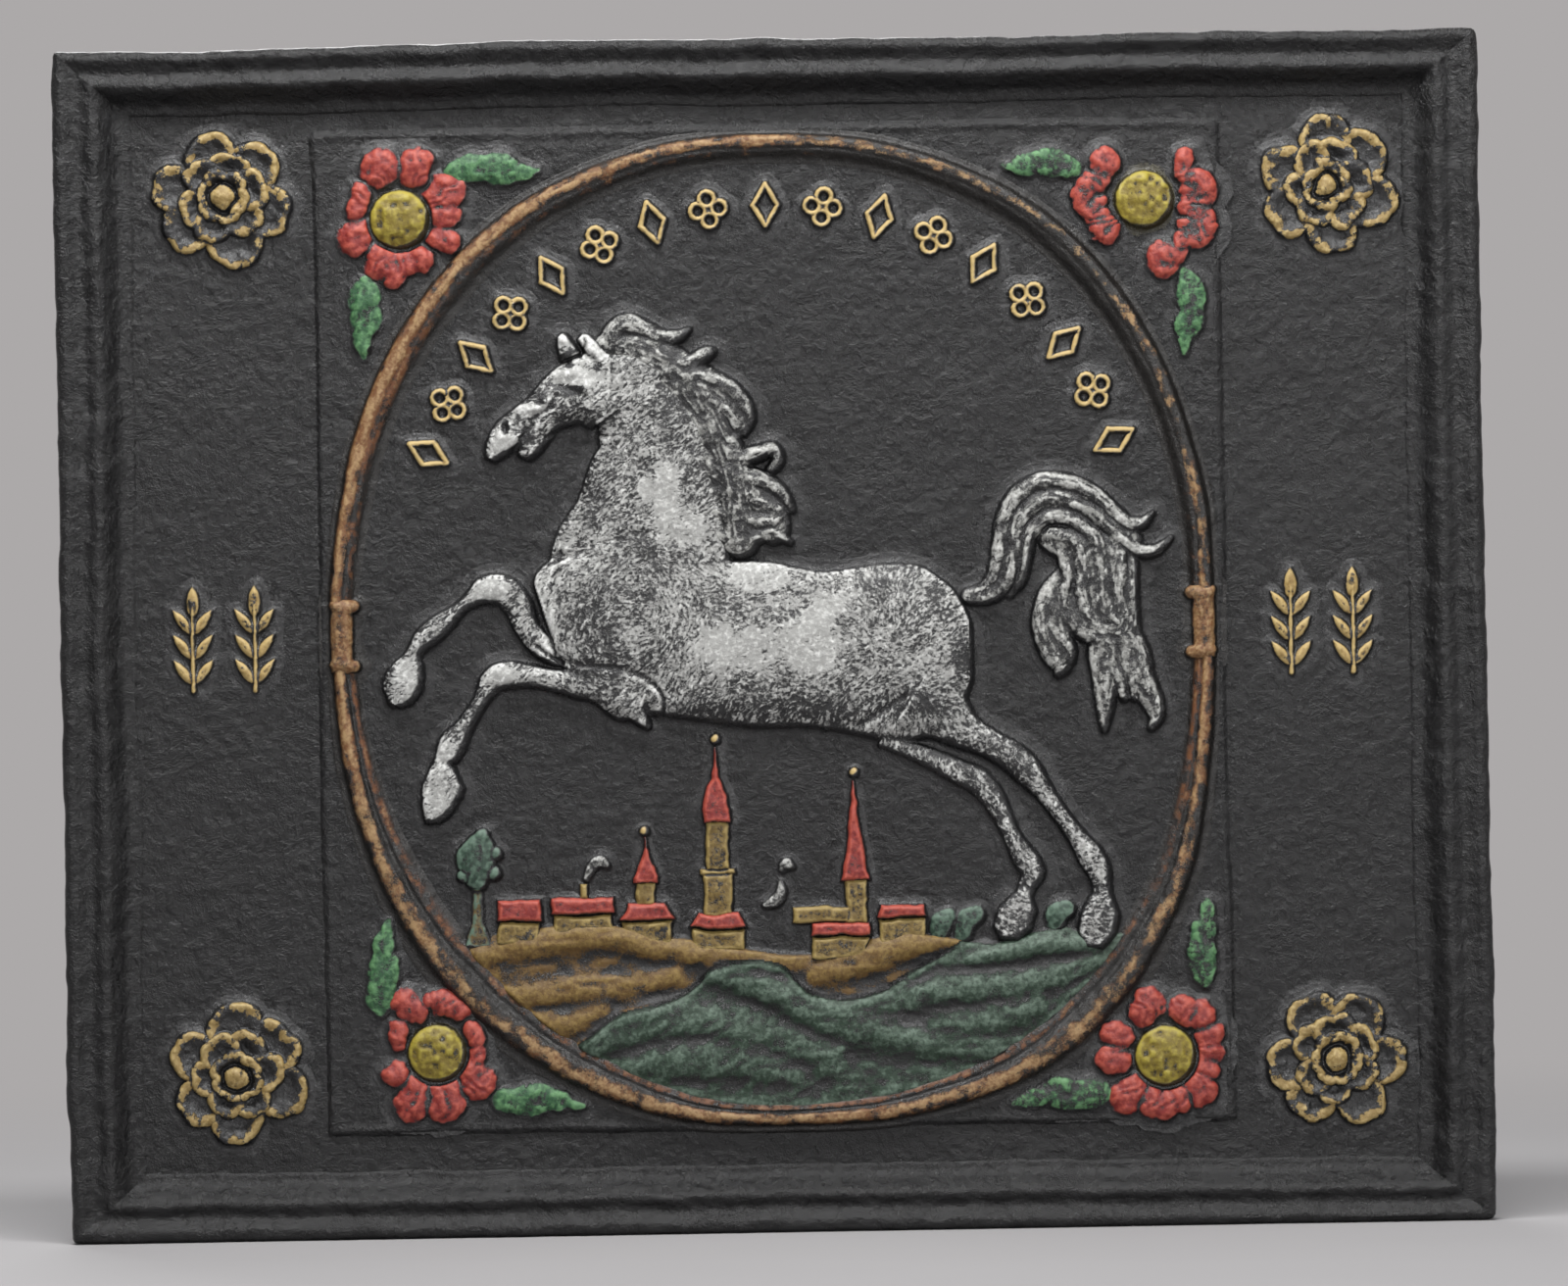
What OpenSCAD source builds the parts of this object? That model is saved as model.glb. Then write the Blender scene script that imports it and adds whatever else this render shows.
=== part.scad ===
// Cast-iron stove plate with painted relief: a leaping horse over a small town, inside an oval
// hoop, with flowers, leaves and rosettes in the corners and a moulded frame round the edge.
// X runs to the right, Z up, and the carved face looks towards -Y. The plate stands on its
// bottom edge: the origin is the middle of that edge, at half the depth. All sizes are in mm.

/* [Plate] */
// Width of the whole plate
plate_w = 600; // [570:1:660]
// Height of the whole plate
plate_h = 502; // [480:1:550]
// Thickness of the slab behind the relief
slab_t = 10; // [6:0.5:16]

/* [Frame mouldings] */
// Width of the left and right mouldings
side_rail_w = 28; // [22:0.5:34]
// Width of the top and bottom mouldings
cross_rail_w = 24; // [18:0.5:28]
// Height of the mouldings' inner bead above the slab
rail_rise = 12; // [10.5:0.5:18]

/* [Centre panel] */
// Plain field between a side moulding and the panel
side_field_w = 81.5; // [76:0.5:90]
// Plain strip between the top moulding and the panel
top_field_h = 12; // [6:0.5:20]
// Plain strip between the bottom moulding and the panel
foot_field_h = 20; // [12:0.5:28]
// Height of the panel's face above the slab
panel_rise = 1.5; // [1:0.25:3]

/* [Oval hoop] */
// Panel left bare at each side of the hoop
hoop_side_margin = 4.5; // [3:0.5:9]
// Panel left bare above the hoop
hoop_top_margin = 4; // [2:0.5:8]
// Panel left bare below the hoop
hoop_foot_margin = 1; // [0.5:0.5:6]
// Width of the hoop's band
hoop_band = 9; // [7:0.5:12]
// Height of the hoop above the panel
hoop_rise = 5; // [3:0.5:8]
// Length of each clasp that closes the hoop
clasp_l = 31; // [20:1:44]
// How far a clasp's lugs stand in from the band
clasp_lug = 3; // [1:0.5:4]
// Height of the clasps above the panel
clasp_rise = 5.5; // [3:0.5:8]

/* [Horse] */
// Greatest height of the horse's body above the panel
horse_rise = 9; // [6:0.5:10]
// Greatest height of the mane's locks above the panel
mane_rise = 8; // [5:0.5:10]
// Greatest height of the tail's strands above the panel
tail_rise = 7.5; // [5:0.5:10]

/* [Landscape and town] */
// Height of the flat ground above the panel
ground_rise = 1.2; // [0.8:0.1:2]
// Height of the hills' ridges above the panel
hill_rise = 4; // [2.5:0.5:6]
// Height of the house walls above the panel
wall_rise = 3.5; // [2.5:0.5:6]
// Height of the roofs and spires above the panel
roof_rise = 4.8; // [3:0.2:7]
// Diameter of the balls on the spires
ball_d = 5; // [3:0.5:5.5]

/* [Arch of lozenges and quatrefoils] */
// Number of ornaments along the arch
arch_count = 17; // [11:2:19]
// Height of a lozenge, along the oval's radius
lozenge_h = 24; // [16:1:28]
// Width of a lozenge, along the arch
lozenge_w = 14; // [9:1:16]
// Diameter over the four lobes of a quatrefoil
quatrefoil_d = 18; // [12:1:20]
// Width of the ornaments' raised lines
line_w = 3.2; // [2:0.2:3.8]
// Height of the raised lines above the panel
line_rise = 3; // [1.5:0.5:5]
// Clear space between the ornaments and the hoop
arch_gap = 9; // [5:0.5:14]

/* [Sprigs] */
// Height of each sprig in the side fields
sprig_h = 44; // [30:1:60]
// Distance between the two sprigs of a pair
sprig_pitch = 26; // [22:1:34]
// Height of the sprigs above the slab
sprig_rise = 3; // [2:0.5:5]

/* [Corner rosettes] */
// Diameter over a rosette's outer petals
rosette_d = 60; // [48:1:68]
// Height of a rosette's centre boss above the slab
rosette_rise = 7; // [5:0.5:10]

/* [Corner flowers] */
// Diameter over a flower's petals
flower_d = 56; // [48:1:60]
// Diameter of a flower's domed eye
flower_eye_d = 25; // [20:0.5:27]
// Dark ring between a flower's eye and its petals
flower_gap = 1.6; // [1:0.2:3]
// Height of the petals above the panel
petal_rise = 4.5; // [3:0.5:7]
// Height of the eye above the panel
flower_eye_rise = 5.5; // [3:0.5:8]

/* [Leaves] */
// Width of a leaf at its broadest
leaf_w = 13; // [9:0.5:15]
// Height of a leaf above the panel
leaf_rise = 3.2; // [2:0.2:5]

/* [Hidden] */

// Depths, measured along Y. The back is at +Y and the relief grows towards -Y.
depth = slab_t + rail_rise;
back_y = depth / 2;
slab_face_y = back_y - slab_t;
panel_face_y = slab_face_y - panel_rise;

// Outline of the field inside the mouldings, of the panel, and of the oval
field_half_w = plate_w / 2 - side_rail_w;
field_top = plate_h - cross_rail_w;
panel_half_w = field_half_w - side_field_w;
panel_foot = cross_rail_w + foot_field_h;
panel_top = field_top - top_field_h;
oval_a = panel_half_w - hoop_side_margin;
oval_b = (panel_top - hoop_top_margin - panel_foot - hoop_foot_margin) / 2;
oval_z = panel_foot + hoop_foot_margin + oval_b;
inner_a = oval_a - hoop_band;
inner_b = oval_b - hoop_band;

// The hand-drawn oval is fuller than an ellipse, by another power in each quarter
oval_powers = [2.3, 2.22, 2.2, 2.62];
// The same for the opening, which is less full below: the band is broader there
opening_powers = [2.25, 2.15, 1.92, 2.3];
oval_sides = 72;

// The scene in the oval was drawn for an opening of this half width and half height, on a sheet
// whose origin is the foot of the plate's centre line. It is scaled to the opening that it gets.
drawn_opening = [177, 199.5];
drawn_centre_z = 253.5;
scene_scale = min(inner_a / drawn_opening[0], inner_b / drawn_opening[1]);

// The corner pieces were drawn for a panel of this half width and height, and move in with it
drawn_panel = [190.5, 422];
corner_scale = min(panel_half_w / drawn_panel[0], (panel_top - panel_foot) / drawn_panel[1]);

iron = "#3c3c3e";
silver = "#b9b9b6";
gold = "#c8aa64";
red = "#be3a32";
yellow = "#afa028";
silver_grey = "#a9a9a6";
green = "#36704c";
dark_green = "#2c4a3c";
ochre = "#6e5528";
hoop_brown = "#96704b";

// Forms shared by the pieces

function lerp(a, b, t) = a + (b - a) * t;

function signed_power(v, p) = sign(v) * pow(abs(v), p);

// A smooth curve through the stations, with this many steps from each to the next
function smooth(p, steps) =
    let (last = len(p) - 1)
    concat(
        [for (i = [0:last - 1], k = [0:steps - 1])
            let (a = p[max(i - 1, 0)], b = p[i], c = p[i + 1], d = p[min(i + 2, last)], t = k / steps)
            0.5 * (2 * b + (c - a) * t + (2 * a - 5 * b + 4 * c - d) * t * t
                + (3 * b - a - 3 * c + d) * t * t * t)],
        [p[last]]);

// Cross-section of a carved rib: flat below, steep at its edges and round on top
rib_points = 8;
rib_width_power = 0.85;
rib_height_power = 0.55;
function rib_profile(half_w, rise) =
    [for (i = [0:rib_points]) let (a = 180 * i / rib_points)
        [half_w * signed_power(cos(a), rib_width_power), rise * pow(sin(a), rib_height_power)]];

// The cross-section of station i, standing across the path that the stations follow
function rib_section(line, i) =
    let (before = line[max(i - 1, 0)], after = line[min(i + 1, len(line) - 1)],
        across = atan2(after[1] - before[1], after[0] - before[0]) + 90)
    [for (q = rib_profile(line[i][2], line[i][3]))
        [line[i][0] + q[0] * cos(across), line[i][1] + q[0] * sin(across), q[1]]];

// The skin between two cross-sections, pulled tight
module rib_link(a, b) {
    n = len(a);
    sides = [for (i = [0:n - 1]) [i, (i + 1) % n, n + (i + 1) % n, n + i]];
    ends = [[for (i = [n - 1:-1:0]) i], [for (i = [0:n - 1]) n + i]];
    hull()
        polyhedron(concat(a, b), concat(sides, ends));
}

// A carved rib lying on the sheet, through stations of [x, y, half width, rise]
module rib(stations, steps = 2) {
    line = smooth(stations, steps);
    sections = [for (i = [0:len(line) - 1]) rib_section(line, i)];
    for (i = [0:len(line) - 2])
        rib_link(sections[i], sections[i + 1]);
}

// Stations with every rise multiplied, so that one drawing serves any height of relief
function raised(stations, rise) = [for (s = stations) [s[0], s[1], s[2], s[3] * rise]];

// A low dome of this diameter and height, standing on the sheet
module dome(d, rise) {
    ball_r = (d * d / 4 + rise * rise) / (2 * rise);
    intersection() {
        translate([0, 0, rise - ball_r])
            sphere(r = ball_r, $fn = 32);
        cylinder(h = rise + 1, d = d + 1, $fn = 32);
    }
}

// Moves a drawing from the flat sheet onto the slab's face or the panel's face
module on_slab_face() {
    translate([0, slab_face_y, 0]) rotate([90, 0, 0]) children();
}

module on_panel_face() {
    translate([0, panel_face_y, 0]) rotate([90, 0, 0]) children();
}

// Places the scene's drawing in the oval
module in_oval() {
    on_panel_face()
        translate([0, oval_z, 0])
            scale([scene_scale, scene_scale, 1])
                translate([0, -drawn_centre_z, 0])
                    children();
}

// A point of an oval at half sizes a and b, in direction t, with the fullness of each quarter
function oval_point(a, b, t, powers) =
    let (turn = (t % 360 + 360) % 360,
        p = powers[floor(turn / 90)],
        reach = pow(pow(abs(cos(t)) / a, p) + pow(abs(sin(t)) / b, p), -1 / p))
    [reach * cos(t), reach * sin(t)];

module oval_outline(a, b, powers) {
    polygon([for (i = [0:oval_sides - 1]) oval_point(a, b, 360 * i / oval_sides, powers)]);
}

// Slab, mouldings and panel

module slab() {
    color(iron)
        translate([-plate_w / 2, slab_face_y, 0])
            cube([plate_w, slab_t, plate_h]);
}

// Profile of a moulding as [share of its width from the outer edge, share of its rise]: an outer
// ridge, a hollow, and a bead that falls to the field
rail_profile = [[0, 0.5], [0.06, 0.76], [0.2, 0.88], [0.45, 0.56], [0.64, 0.98], [0.82, 0.86], [0.96, 0.3]];
rail_steps = 3;
rail_curve = smooth(rail_profile, rail_steps);
rail_crest = max([for (q = rail_curve) q[1]]);
function rail_outline(rail_w) =
    concat([[0, 0]], [for (q = rail_curve) [q[0] * rail_w, q[1] / rail_crest * rail_rise]], [[rail_w, 0]]);

// A moulding along X, its outer edge on Y = 0 and the field above it, cut on its mitres
module rail(length, rail_w, mitre_run) {
    intersection() {
        translate([-length / 2, 0, 0])
            rotate([90, 0, 90])
                linear_extrude(length)
                    polygon(rail_outline(rail_w));
        linear_extrude(rail_rise * 2)
            polygon([[-length / 2, 0], [length / 2, 0],
                [length / 2 - mitre_run, rail_w], [mitre_run - length / 2, rail_w]]);
    }
}

module bottom_moulding() {
    color(iron)
        on_slab_face()
            rail(plate_w, cross_rail_w, side_rail_w);
}

module top_moulding() {
    color(iron)
        on_slab_face()
            translate([0, plate_h, 0])
                rotate([0, 0, 180])
                    rail(plate_w, cross_rail_w, side_rail_w);
}

module side_moulding(side) {
    color(iron)
        on_slab_face()
            translate([side * plate_w / 2, plate_h / 2, 0])
                rotate([0, 0, side * 90])
                    rail(plate_h, side_rail_w, cross_rail_w);
}

module left_moulding() {
    side_moulding(-1);
}

module right_moulding() {
    side_moulding(1);
}

module centre_panel() {
    color(iron)
        on_slab_face()
            translate([-panel_half_w, panel_foot, 0])
                cube([2 * panel_half_w, panel_top - panel_foot, panel_rise]);
}

// Oval hoop: a band with a high outer ridge and a lower inner one, in two halves held by clasps

// Profile of the band as [share of its width from the inner edge, share of its rise]
hoop_profile = [[0, 0], [0.04, 0.5], [0.25, 0.72], [0.42, 0.55], [0.62, 0.95], [0.8, 1], [0.96, 0.7], [1, 0]];
hoop_stations = 30;

// Direction of the end of a clasp, seen from the oval's centre
clasp_turn = atan2(clasp_l / 2, oval_a);

// Band of the hoop from one direction to another, as one skin through equal sections
module hoop_half(from, to) {
    n = len(hoop_profile);
    turns = [for (i = [0:hoop_stations]) lerp(from, to, i / hoop_stations)];
    points = [for (t = turns, q = hoop_profile)
        let (inner = oval_point(inner_a, inner_b, t, opening_powers),
            outer = oval_point(oval_a, oval_b, t, oval_powers),
            p = lerp(inner, outer, q[0]))
        [p[0], p[1], q[1] * hoop_rise]];
    sides = [for (i = [0:hoop_stations - 1], k = [0:n - 1])
        [i * n + k, i * n + (k + 1) % n, (i + 1) * n + (k + 1) % n, (i + 1) * n + k]];
    ends = [[for (k = [n - 1:-1:0]) k], [for (k = [0:n - 1]) hoop_stations * n + k]];
    polyhedron(points, concat(sides, ends), convexity = 4);
}

module upper_hoop() {
    color(hoop_brown)
        on_panel_face()
            translate([0, oval_z, 0])
                hoop_half(clasp_turn, 180 - clasp_turn);
}

module lower_hoop() {
    color(hoop_brown)
        on_panel_face()
            translate([0, oval_z, 0])
                hoop_half(180 + clasp_turn, 360 - clasp_turn);
}

// A flat clasp over the band, with a lug standing in at each end
clasp_steps = 6;
lug_l = 4.5;
module clasp(side) {
    middle = side > 0 ? 0 : 180;
    turns = [for (i = [0:clasp_steps]) middle + lerp(-clasp_turn, clasp_turn, i / clasp_steps)];
    outer = [for (t = turns) oval_point(oval_a, oval_b, t, oval_powers)];
    inner = [for (i = [clasp_steps:-1:0]) oval_point(inner_a, inner_b, turns[i], opening_powers)];
    lug_reach = inner_a * sin(clasp_turn);
    color(hoop_brown)
        on_panel_face()
            translate([0, oval_z, 0])
                linear_extrude(clasp_rise) {
                    polygon(concat(outer, inner));
                    mirror([side < 0 ? 1 : 0, 0])
                        for (lug_foot = [-lug_reach, lug_reach - lug_l])
                            translate([inner_a - clasp_lug, lug_foot])
                                square([clasp_lug + hoop_band / 2, lug_l]);
                }
}

module left_clasp() {
    clasp(-1);
}

module right_clasp() {
    clasp(1);
}

// Horse: stations are [x, z, half width, share of the horse's rise], drawn on the scene's sheet
horse_body = [[-97, 262, 12, 0.7], [-92, 263, 22, 0.85], [-80, 262, 28, 0.92], [-60, 255, 35, 1],
    [-35, 250, 34, 0.98], [-5, 247, 35.5, 1], [20, 244.5, 33.5, 0.98], [45, 243.5, 37.5, 1],
    [62, 242, 37, 1], [74, 242, 30, 0.9], [81, 242, 20, 0.8], [84.5, 242, 11, 0.5]];
horse_neck = [[-64, 362, 15, 0.7], [-54, 350, 22, 0.8], [-48, 335, 25, 0.85], [-48, 318, 30, 0.9],
    [-50, 300, 34, 0.95], [-55, 282, 38.5, 0.95], [-58, 265, 38, 0.95]];
horse_shoulder = [[-90, 284, 6, 0.75], [-84, 274, 14, 0.85], [-72, 262, 22, 0.95]];
horse_head = [[-66, 356, 17, 0.8], [-76, 356, 15.5, 0.85], [-86, 352, 13, 0.8], [-95, 346, 10, 0.77],
    [-103, 341, 9, 0.75], [-110, 336.5, 8, 0.7], [-115, 331, 5.6, 0.62], [-117.8, 326, 2.6, 0.45]];
horse_chin = [[-90, 346, 7, 0.6], [-97, 338, 6.4, 0.62], [-101.5, 331, 5.6, 0.58], [-103.5, 326.5, 3, 0.4]];
horse_poll = [[-76, 362, 9, 0.75], [-67, 371, 6, 0.7]];
horse_cheek = [[-82, 361, 6, 0.85], [-74, 352, 12, 0.97], [-68, 343, 9, 0.85]];
horse_near_ear = [[-79.5, 378.5, 2, 0.6], [-75.5, 375, 3.8, 0.78], [-69, 367, 4, 0.8]];
horse_far_ear = [[-88, 379, 1.8, 0.45], [-86, 376.5, 3.6, 0.62], [-83, 369, 5, 0.68]];
horse_elbow = [[-66, 228, 9, 0.85], [-59, 221, 6, 0.78], [-54.5, 215, 3, 0.65], [-52.5, 212, 1, 0.45]];
horse_near_foreleg = [[-54, 224, 9, 0.8], [-62, 227, 12, 0.85], [-73, 231, 8.5, 0.8], [-84, 232, 6.5, 0.75],
    [-95, 234, 5, 0.65], [-104, 235.5, 5.5, 0.65], [-112, 236, 6.5, 0.7], [-118, 234, 6, 0.65],
    [-122.5, 227, 4, 0.55], [-127, 220, 3.8, 0.55], [-131, 214, 4.6, 0.6], [-135, 208.5, 6.4, 0.65],
    [-137.5, 203.5, 6, 0.6], [-139.5, 200, 3.4, 0.5], [-140.5, 195.5, 6, 0.6], [-140.5, 188, 9, 0.65],
    [-142.5, 180, 6.6, 0.6], [-145, 174.5, 2.6, 0.45]];
horse_far_foreleg = [[-88, 243, 5, 0.5], [-97, 248, 5.5, 0.55], [-103.5, 256, 5.5, 0.6],
    [-107, 265, 6.5, 0.62], [-112.5, 271.5, 7, 0.65], [-120, 272, 6.8, 0.65], [-126, 268.5, 4.4, 0.55],
    [-131, 265, 3.4, 0.5], [-138, 259, 5, 0.55], [-145, 253.5, 5.6, 0.6], [-149, 249.5, 4.4, 0.55],
    [-151.5, 245, 3, 0.5], [-153.5, 240, 7, 0.6],
    [-156, 233.5, 9, 0.65], [-158, 227.5, 7, 0.6], [-160, 223.5, 2.5, 0.45]];
horse_near_hind_leg = [[58, 226, 20, 0.9], [70, 218, 14, 0.85], [80, 209.5, 8.5, 0.75], [90, 204, 6.5, 0.7],
    [100, 198, 6.8, 0.7], [107, 191, 6.5, 0.7], [113, 183, 4.6, 0.6], [120, 173, 4, 0.58],
    [126.5, 164, 4.4, 0.6], [132, 156, 6, 0.65], [135.5, 149.5, 5.6, 0.62], [136.5, 143.5, 3, 0.5],
    [136.5, 137.5, 5.4, 0.6], [135, 129, 8.2, 0.65], [133.5, 121.5, 6.5, 0.58], [133, 118.5, 3.5, 0.4]];
horse_far_hind_leg = [[44, 207, 4, 0.4], [62, 199.5, 4.4, 0.42], [76, 192.5, 5.4, 0.46], [85, 188, 6, 0.5],
    [91, 181.5, 5.6, 0.5], [95.5, 173, 4.6, 0.46], [99.5, 164, 4.2, 0.45], [104, 156, 5.6, 0.5],
    [107.5, 149.5, 5.8, 0.5], [105, 143.5, 3, 0.42], [103, 138, 5, 0.48], [99.5, 130, 8, 0.52],
    [97.5, 124, 6.5, 0.45], [97, 121.5, 3.5, 0.3]];
horse_sheath = [[20, 214, 4, 0.5], [28, 213, 3, 0.45], [34, 210, 2, 0.35]];

module horse_relief() {
    rib(raised(horse_body, horse_rise));
    rib(raised(horse_neck, horse_rise));
    rib(raised(horse_head, horse_rise));
    for (part = [horse_shoulder, horse_elbow, horse_sheath])
        rib(raised(part, horse_rise));
    for (part = [horse_chin, horse_cheek, horse_poll, horse_near_ear, horse_far_ear])
        rib(raised(part, horse_rise));
    for (leg = [horse_near_foreleg, horse_far_foreleg, horse_near_hind_leg, horse_far_hind_leg])
        rib(raised(leg, horse_rise));
}

module horse() {
    color(silver)
        in_oval()
            horse_relief();
}

// Mane: a mass on the neck and curling locks from the forelock down, as [x, z, half width, share of rise]
mane_locks = [
    [[-68, 374, 5, 0.6], [-54, 372, 8, 0.72], [-36, 358, 11, 0.72], [-22, 334, 9, 0.7], [-15, 314, 8.5, 0.72],
        [-13, 292, 8.5, 0.65]],
    [[-71, 371, 3, 0.8], [-65, 379, 4.5, 0.9], [-57, 382, 4.4, 0.9], [-49, 378, 4, 0.82], [-41, 376.5, 3, 0.7],
        [-34, 379, 1, 0.5]],
    [[-58, 372, 5, 0.95], [-45, 370, 5.5, 0.9], [-34, 365.5, 4.5, 0.8], [-26, 368, 3, 0.7], [-22, 371, 1, 0.5]],
    [[-48, 361, 5, 1], [-34, 360, 5, 0.9], [-22, 357, 5, 0.8], [-13, 350, 4.5, 0.75], [-9, 343, 3, 0.6],
        [-10, 337, 1, 0.5]],
    [[-38, 351, 5, 1], [-28, 348, 5.5, 0.95], [-20, 342, 5, 0.85], [-15, 335, 3, 0.7]],
    [[-30, 338, 5, 1], [-20, 329, 4.5, 0.9], [-11, 326, 4.5, 0.8], [-3, 327, 4, 0.75], [2, 327.5, 3, 0.65],
        [1.5, 322, 1.5, 0.5]],
    [[-26, 322, 5.5, 1], [-14, 318, 5, 0.9], [-3, 315.5, 4.5, 0.8], [5, 310.5, 3.5, 0.7], [9, 304, 1.5, 0.5]],
    [[-25, 308, 7, 1], [-13, 305, 7, 0.9], [-3, 304, 5, 0.75], [5, 301, 2.5, 0.6]],
    [[-20, 296, 7, 0.95], [-9, 293, 6.5, 0.85], [1, 295, 4.5, 0.75], [8, 290, 2, 0.55]]];

module mane() {
    color(silver_grey)
        in_oval()
            difference() {
                for (lock = mane_locks)
                    rib(raised(lock, mane_rise));
                horse_relief();
            }
}

// Tail: a thick root that arches over, its curled tips, and the locks that hang from it
tail_strands = [
    [[83, 266, 3.5, 0.45], [92, 268, 5.2, 0.55], [98.5, 277, 6.5, 0.62], [102, 293, 8, 0.7],
        [110, 304.5, 9.5, 0.72], [124, 306.5, 9.4, 0.72], [138, 300, 7.5, 0.68], [152, 289, 4, 0.5]],
    [[94, 275, 3, 0.75], [96, 286, 3.4, 0.85], [97.5, 296, 3.6, 0.9], [102, 306, 3.8, 1], [110, 312.5, 4, 1],
        [119, 314, 4, 1], [129, 311.5, 4, 0.95], [138, 306, 3.8, 0.9], [145, 299.5, 3.6, 0.82],
        [150, 295.5, 3.4, 0.72], [156, 295.5, 2.6, 0.6], [160.5, 299.5, 1, 0.45]],
    [[104, 296, 3.4, 0.85], [108.5, 301.5, 3.8, 0.95], [116, 305.5, 3.8, 0.97], [125, 304.5, 3.8, 0.95],
        [134, 300.5, 3.6, 0.9], [142, 294.5, 3.6, 0.82], [149, 287.5, 3.4, 0.75], [156, 283.5, 3, 0.68],
        [162.5, 284.5, 2.4, 0.58], [168, 289, 1, 0.42]],
    [[116.5, 290, 4.5, 0.5], [122, 289, 7.5, 0.62], [130, 287, 9.5, 0.7], [137, 279, 13.5, 0.78],
        [139, 268, 14.5, 0.78], [141, 258, 13.5, 0.75], [147.5, 249, 7.5, 0.6]],
    [[121, 275, 2, 0.45], [117.5, 265, 6, 0.65], [117.5, 255, 7.6, 0.75], [119.5, 245, 7, 0.75],
        [121.5, 237, 4.4, 0.62], [120, 232.5, 1.6, 0.42]],
    [[122, 271, 4, 0.55], [124, 262, 7, 0.66], [131, 253, 6.4, 0.68], [141, 248.5, 5, 0.64], [150, 247, 4, 0.6]],
    [[138, 251, 5, 0.6], [143, 241, 9.4, 0.75], [147, 232, 11, 0.75], [148.5, 224, 7.5, 0.62]],
    [[139.5, 238, 6, 0.72], [139.5, 228, 5, 0.66], [139.5, 218, 3.2, 0.56], [139, 211, 2.4, 0.46],
        [139, 208, 1, 0.38]],
    [[154, 240, 3.6, 0.76], [157.5, 230, 3.8, 0.74], [161, 221, 3.2, 0.62], [161.5, 213.5, 2.6, 0.52],
        [158.5, 209, 1.3, 0.4]]];

module tail() {
    color(silver_grey)
        in_oval()
            difference() {
                for (strand = tail_strands)
                    rib(raised(strand, tail_rise));
                rib(raised(horse_body, horse_rise));
            }
}

// Landscape: a thin ground filling the foot of the oval, with ridges across it

// Upper edge of the ground, and the line where the ochre field meets the green hills
ground_edge = [[-230, 124], [-135, 124], [-118, 128], [-95, 131], [-72, 131], [-50, 127], [-15, 120], [14, 117],
    [50, 126], [66, 124], [90, 121], [118, 127], [140, 124], [230, 124]];
hill_edge = [[-230, 60], [-100, 72], [-84, 80], [-70, 91], [-52, 96], [-38, 102], [-24, 113], [0, 112],
    [14, 100], [38, 99], [62, 112], [86, 125], [110, 140], [230, 150]];
ground_half_w = 230;
ground_foot = -60;
ground_head = 160;

// Everything on the sheet that lies below a line
line_steps = 3;
module below(line) {
    last = line[len(line) - 1];
    polygon(concat(smooth(line, line_steps), [[last[0], ground_foot], [line[0][0], ground_foot]]));
}

// A plain rectangle on the sheet
module box(left, right, foot, top) {
    translate([left, foot])
        square([right - left, top - foot]);
}

field_ridges = [
    [[-125, 118, 5, 0.55], [-100, 123, 7, 0.75], [-72, 126, 7, 0.85], [-50, 120, 6, 0.75], [-20, 116, 6, 0.7],
        [8, 113, 5, 0.6]],
    [[-112, 101, 6, 0.5], [-88, 103, 7, 0.7], [-66, 104, 6, 0.6], [-44, 108, 6, 0.5]],
    [[-104, 88, 6, 0.5], [-88, 90, 7, 0.6], [-74, 95, 5, 0.5]],
    [[16, 108, 6, 0.5], [34, 113, 8, 0.75], [56, 120, 7, 0.8], [74, 121, 5, 0.6]]];

hill_ridges = [
    [[-84, 76, 5, 0.4], [-70, 84, 8, 0.75], [-50, 90, 10, 0.9], [-28, 88, 9, 0.7], [-10, 80, 7, 0.5]],
    [[-62, 72, 6, 0.4], [-40, 74, 10, 0.8], [-16, 72, 9, 0.7], [6, 66, 6, 0.4]],
    [[-28, 108, 4, 0.6], [-14, 106, 7, 0.95], [2, 99, 8, 1], [18, 90, 9, 0.9], [40, 84, 9, 0.8],
        [64, 78, 7, 0.6], [92, 76, 4, 0.4]],
    [[-16, 88, 8, 0.6], [4, 80, 9, 0.7], [22, 72, 8, 0.5]],
    [[30, 92, 5, 0.5], [52, 96, 7, 0.7], [72, 101, 8, 0.85], [94, 102, 8, 0.85], [116, 106, 6, 0.6],
        [132, 112, 4, 0.4]],
    [[66, 86, 6, 0.5], [90, 88, 8, 0.7], [108, 94, 6, 0.5]],
    [[72, 112, 4, 0.5], [92, 115, 5, 0.75], [112, 119, 5, 0.8], [132, 119, 5, 0.6]]];

module ground(ridges) {
    linear_extrude(ground_rise)
        box(-ground_half_w, ground_half_w, ground_foot, ground_head);
    for (ridge = ridges)
        rib(raised(ridge, hill_rise));
}

// The oval's opening, on the scene's sheet
module opening() {
    translate([0, drawn_centre_z])
        scale([1 / scene_scale, 1 / scene_scale])
            oval_outline(inner_a, inner_b, opening_powers);
}

// Ground inside a flat outline given as the first child, less the pieces that stand in it
module ground_inside(ridges) {
    difference() {
        intersection() {
            ground(ridges);
            linear_extrude(hill_rise * 2)
                intersection() {
                    opening();
                    children();
                }
        }
        horse_relief();
        linear_extrude(hill_rise * 2)
            town_footprint();
    }
}

module field() {
    color(ochre)
        in_oval()
            ground_inside(field_ridges)
                difference() {
                    below(ground_edge);
                    below(hill_edge);
                }
}

module hills() {
    color(dark_green)
        in_oval()
            ground_inside(hill_ridges)
                intersection() {
                    below(ground_edge);
                    below(hill_edge);
                }
}

// Town: plain outlines on the scene's sheet, each building as walls, roofs and spires

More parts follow.
